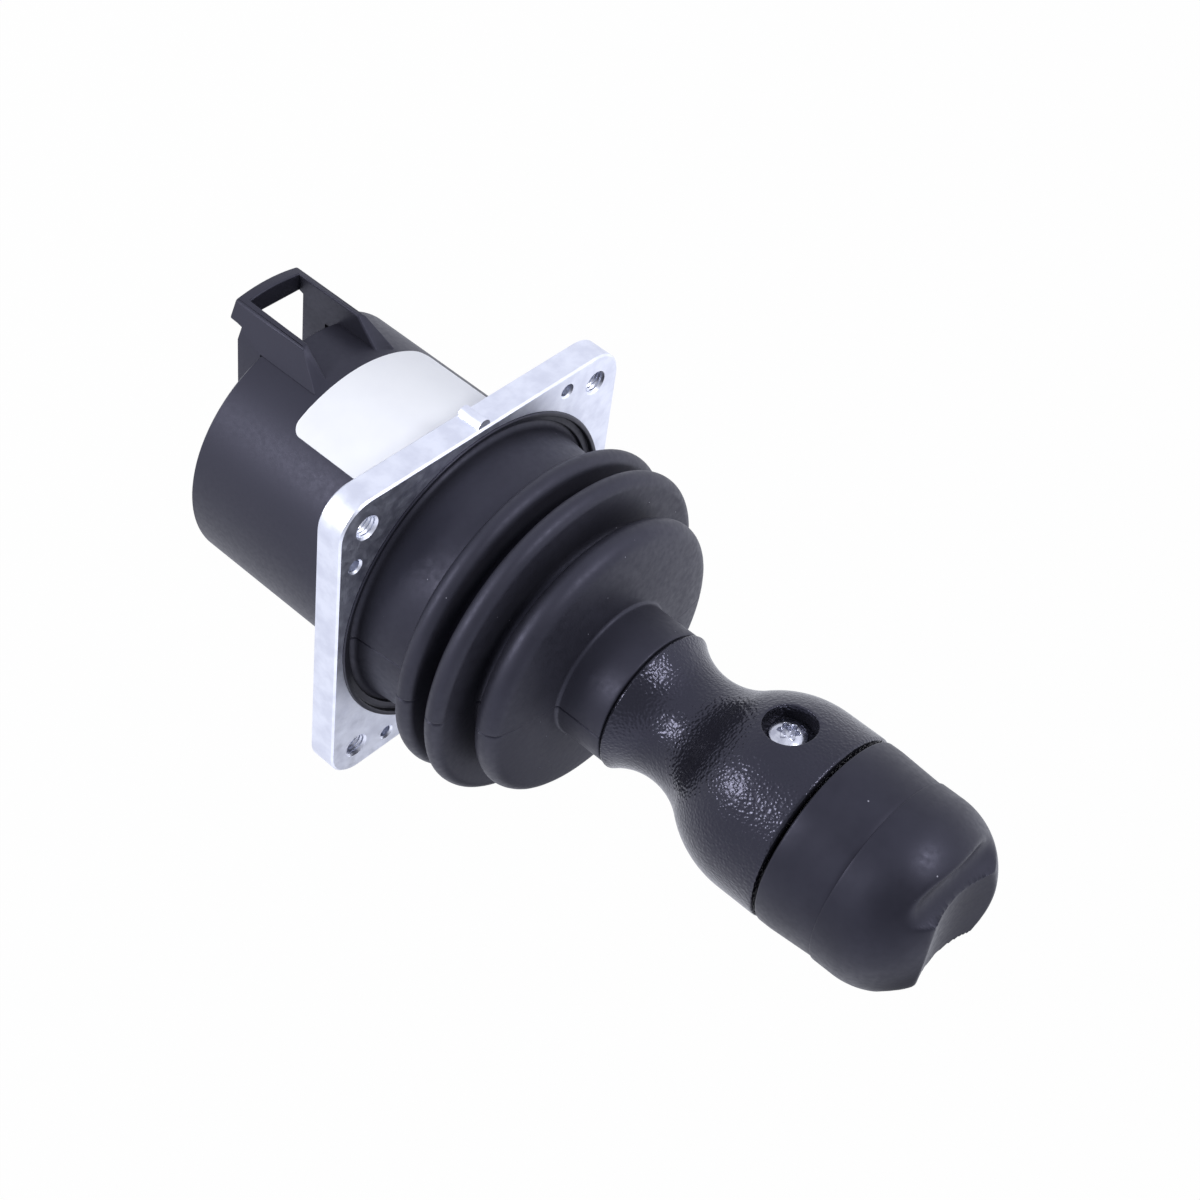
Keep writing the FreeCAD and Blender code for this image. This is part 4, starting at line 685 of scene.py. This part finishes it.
def makeHousing(g):
    shape = bmesh.new()
    shape.from_mesh(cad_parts["housing"].data)
    bmesh.ops.remove_doubles(shape, verts=shape.verts, dist=1e-5)
    bmesh.ops.dissolve_limit(shape, angle_limit=radians(g["flat"]), verts=shape.verts, edges=shape.edges)
    # the outer edges of the guard get a radius; the rest keeps the edges of the tool
    edges = [
        edge for edge in shape.edges
        if edge.is_convex and edge.calc_face_angle(0) > radians(g["corner"])
        and all(vert.co.y > g["above"] * mm and vert.co.z < g["behind"] * mm for vert in edge.verts)]
    bmesh.ops.bevel(
        shape, geom=edges, offset=g["radius"] * mm, offset_type="OFFSET", segments=3, profile=0.5,
        affect="EDGES", clamp_overlap=False)
    mesh = bpy.data.meshes.new("housingShell")
    shape.to_mesh(mesh)
    shape.free()
    item = bpy.data.objects.new("housingShell", mesh)
    scene.collection.objects.link(item)
    mesh.shade_smooth()
    mesh.set_sharp_from_angle(angle=radians(g["sharp"]))
    item.modifiers.new("normals", "WEIGHTED_NORMAL").keep_sharp = True
    mesh.materials.append(materials["mouldedNylon"])
    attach(item, "base")
    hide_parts("housing")


makeHousing(guardEdges)
print("housing done")


# Threads of the plate's corner holes
threadShape = {
    "place": 39.0, "radius": 3.0, "sleeve": 3.02, "sink": 0.005, "pitch": 1.0, "depth": 0.42, "low": -7.6,
    "high": -0.5, "runOut": 0.7, "rows": 72, "columns": 40,
}


def makeThreads(t):
    # a thin sleeve in each hole whose inside radius is the hole's less the thread's height, a
    # triangle wave of the height minus one pitch for each turn
    count, low, high = t["columns"], t["low"], t["high"]
    z = np.linspace(low, high, t["rows"])
    a = np.arange(count) * 2 * np.pi / count
    phase = (z[:, None] / t["pitch"] - a[None] / (2 * np.pi)) % 1
    fade = (np.clip((high - z) / t["runOut"], 0, 1) * np.clip((z - low) / t["runOut"], 0, 1))[:, None]
    inner = t["radius"] - t["depth"] * fade * (1 - np.abs(2 * phase - 1)) - t["sink"]
    radii = np.vstack([inner, np.full((2, count), t["sleeve"])])
    heights = np.concatenate([z, z[[-1, 0]]])
    points, faces = [], []
    sides = (t["place"], -t["place"])
    for k, (x, y) in enumerate((x, y) for x in sides for y in sides):
        sleeve = np.stack([
            x + radii * np.cos(a), y + radii * np.sin(a), np.broadcast_to(heights[:, None], radii.shape)], -1)
        points.append(sleeve.reshape(-1, 3))
        faces.append(gridFaces(len(heights), count, k * len(heights) * count, loopRows=True))
    meshPiece(
        "plateThreads", np.vstack(points), np.vstack(faces), "base",
        materials["tumbledAluminium"], sharp=50)


makeThreads(threadShape)
print("threads done")


# Stage: a pale floor well below the part, a white surround with two soft dark sides, and two soft
# boxes. Camera, mirror and glass rays see white; other rays get plain light.
stageShape = {
    "floorDrop": 300.0, "floorHalf": 12000.0, "paper": "#F2F2F4",
    # how much of the floor the camera sees as white, and the floor's glow in mirrors
    "floorWhite": 0.985, "floorGlow": 1.14,
    # strength of the surround for plain light and in mirrors
    "plainLight": 0.68, "mirrorLight": 1.45,
}
lamps = {
    "overhead": {"towards": (0.13, 0.84, 0.52), "distance": 0.62, "size": 0.20, "power": 1.6},
    "side": {"towards": (-0.72, 0.46, -0.52), "distance": 0.55, "size": 0.16, "power": 1.2},
}
lampAim = np.array([-0.01, 0.012, 0.085])
# each dark side: its direction, the cosines between which it sets in, and its tone
darkSides = (((-0.50, 0.52, 0.69), 0.42, 0.95, 0.37), ((0.30, -0.90, 0.30), 0.88, 0.985, 0.08))
skyColour = "#F4F6FF"


def mirrorRay(tree, path):
    # 1 for the rays of mirrors and glass, 0 for all others
    return addNode(
        tree, "Math", links={0: path.outputs["Is Glossy Ray"], 1: path.outputs["Is Transmission Ray"]},
        operation="MAXIMUM").outputs[0]


def skyTone(tree, path):
    # white for the camera, the sky's colour for all other rays
    return addNode(
        tree, "Mix", {6: toLinear(skyColour), 7: (1, 1, 1, 1)}, {0: path.outputs["Is Camera Ray"]},
        data_type="RGBA").outputs[2]


def makeFloor(s):
    half, low = s["floorHalf"] * mm, cadBox[0][2] - s["floorDrop"] * mm
    mesh = bpy.data.meshes.new("floor")
    corners = [(-half, -half, low), (half, -half, low), (half, half, low), (-half, half, low)]
    mesh.from_pydata(corners, [], [(0, 1, 2, 3)])
    floor = bpy.data.objects.new("floor", mesh)
    scene.collection.objects.link(floor)
    material = bpy.data.materials.new("paleFloor")
    material.use_nodes = True
    tree = material.node_tree
    tree.nodes.remove(tree.nodes["Principled BSDF"])
    paper = addNode(tree, "BsdfDiffuse", {"Color": toLinear(s["paper"])})
    path = addNode(tree, "LightPath")
    mirror = mirrorRay(tree, path)
    seen = addNode(tree, "Math", {1: s["floorWhite"]}, {0: path.outputs["Is Camera Ray"]}, operation="MULTIPLY")
    power = addNode(tree, "MapRange", {"To Min": 1.0, "To Max": s["floorGlow"]}, {"Value": mirror})
    glow = addNode(tree, "Emission", links={"Color": skyTone(tree, path), "Strength": power.outputs[0]})
    share = addNode(tree, "Math", links={0: seen.outputs[0], 1: mirror}, operation="MAXIMUM")
    mix = addNode(tree, "MixShader", links={0: share.outputs[0], 1: paper.outputs[0], 2: glow.outputs[0]})
    tree.links.new(mix.outputs[0], tree.nodes["Material Output"].inputs["Surface"])
    floor.data.materials.append(material)


def makeWorld(s):
    world = bpy.data.worlds.new("surround")
    scene.world = world
    world.use_nodes = True
    tree = world.node_tree
    direction = addNode(tree, "TexCoord").outputs["Generated"]
    level = None
    for towards, start, end, dark in darkSides:
        dot = addNode(tree, "VectorMath", {1: towards}, {0: direction}, operation="DOT_PRODUCT").outputs["Value"]
        shade = addNode(
            tree, "MapRange", {"From Min": start, "From Max": end, "To Min": 1.0, "To Max": dark}, {"Value": dot},
            interpolation_type="SMOOTHSTEP").outputs[0]
        level = addNode(
            tree, "Math", links={0: level, 1: shade}, operation="MULTIPLY").outputs[0] if level else shade
    path = addNode(tree, "LightPath")
    strength = addNode(
        tree, "MapRange", {"To Min": s["plainLight"], "To Max": s["mirrorLight"]},
        {"Value": mirrorRay(tree, path)}).outputs[0]
    strength = addNode(tree, "Math", links={0: strength, 1: level}, operation="MULTIPLY").outputs[0]
    strength = addNode(
        tree, "Mix", {3: 1.0}, {0: path.outputs["Is Camera Ray"], 2: strength}, data_type="FLOAT").outputs[0]
    tree.links.new(strength, tree.nodes["Background"].inputs["Strength"])
    tree.links.new(skyTone(tree, path), tree.nodes["Background"].inputs["Color"])


def aimed(item, place, target):
    # turns an object's own -Z towards the target
    item.location = place
    item.rotation_euler = (Vector(target) - Vector(place)).to_track_quat("-Z", "Y").to_euler()


def makeLamps():
    for name, lamp in lamps.items():
        light = bpy.data.lights.new(name, "AREA")
        light.shape = "DISK"
        light.size = lamp["size"]
        light.energy = lamp["power"]
        item = bpy.data.objects.new(name, light)
        scene.collection.objects.link(item)
        towards = np.array(lamp["towards"]) / np.linalg.norm(lamp["towards"])
        aimed(item, lampAim + towards * lamp["distance"], lampAim)


makeFloor(stageShape)
makeWorld(stageShape)
makeLamps()

# Camera of the photograph, found from the plate's corners and the knob
cameraPlace = {"location": (-0.30329, 0.40615, 0.26014), "turn": (-53.0977, -47.1499, 9.2733), "lens": 67.626}
camera = bpy.data.objects.new("camera", bpy.data.cameras.new("camera"))
scene.collection.objects.link(camera)
camera.location = cameraPlace["location"]
camera.rotation_euler = [radians(angle) for angle in cameraPlace["turn"]]
camera.data.lens = cameraPlace["lens"]
camera.data.sensor_width = 36.0
camera.data.clip_start, camera.data.clip_end = 0.01, 100.0
scene.camera = camera
print("stage and camera done")
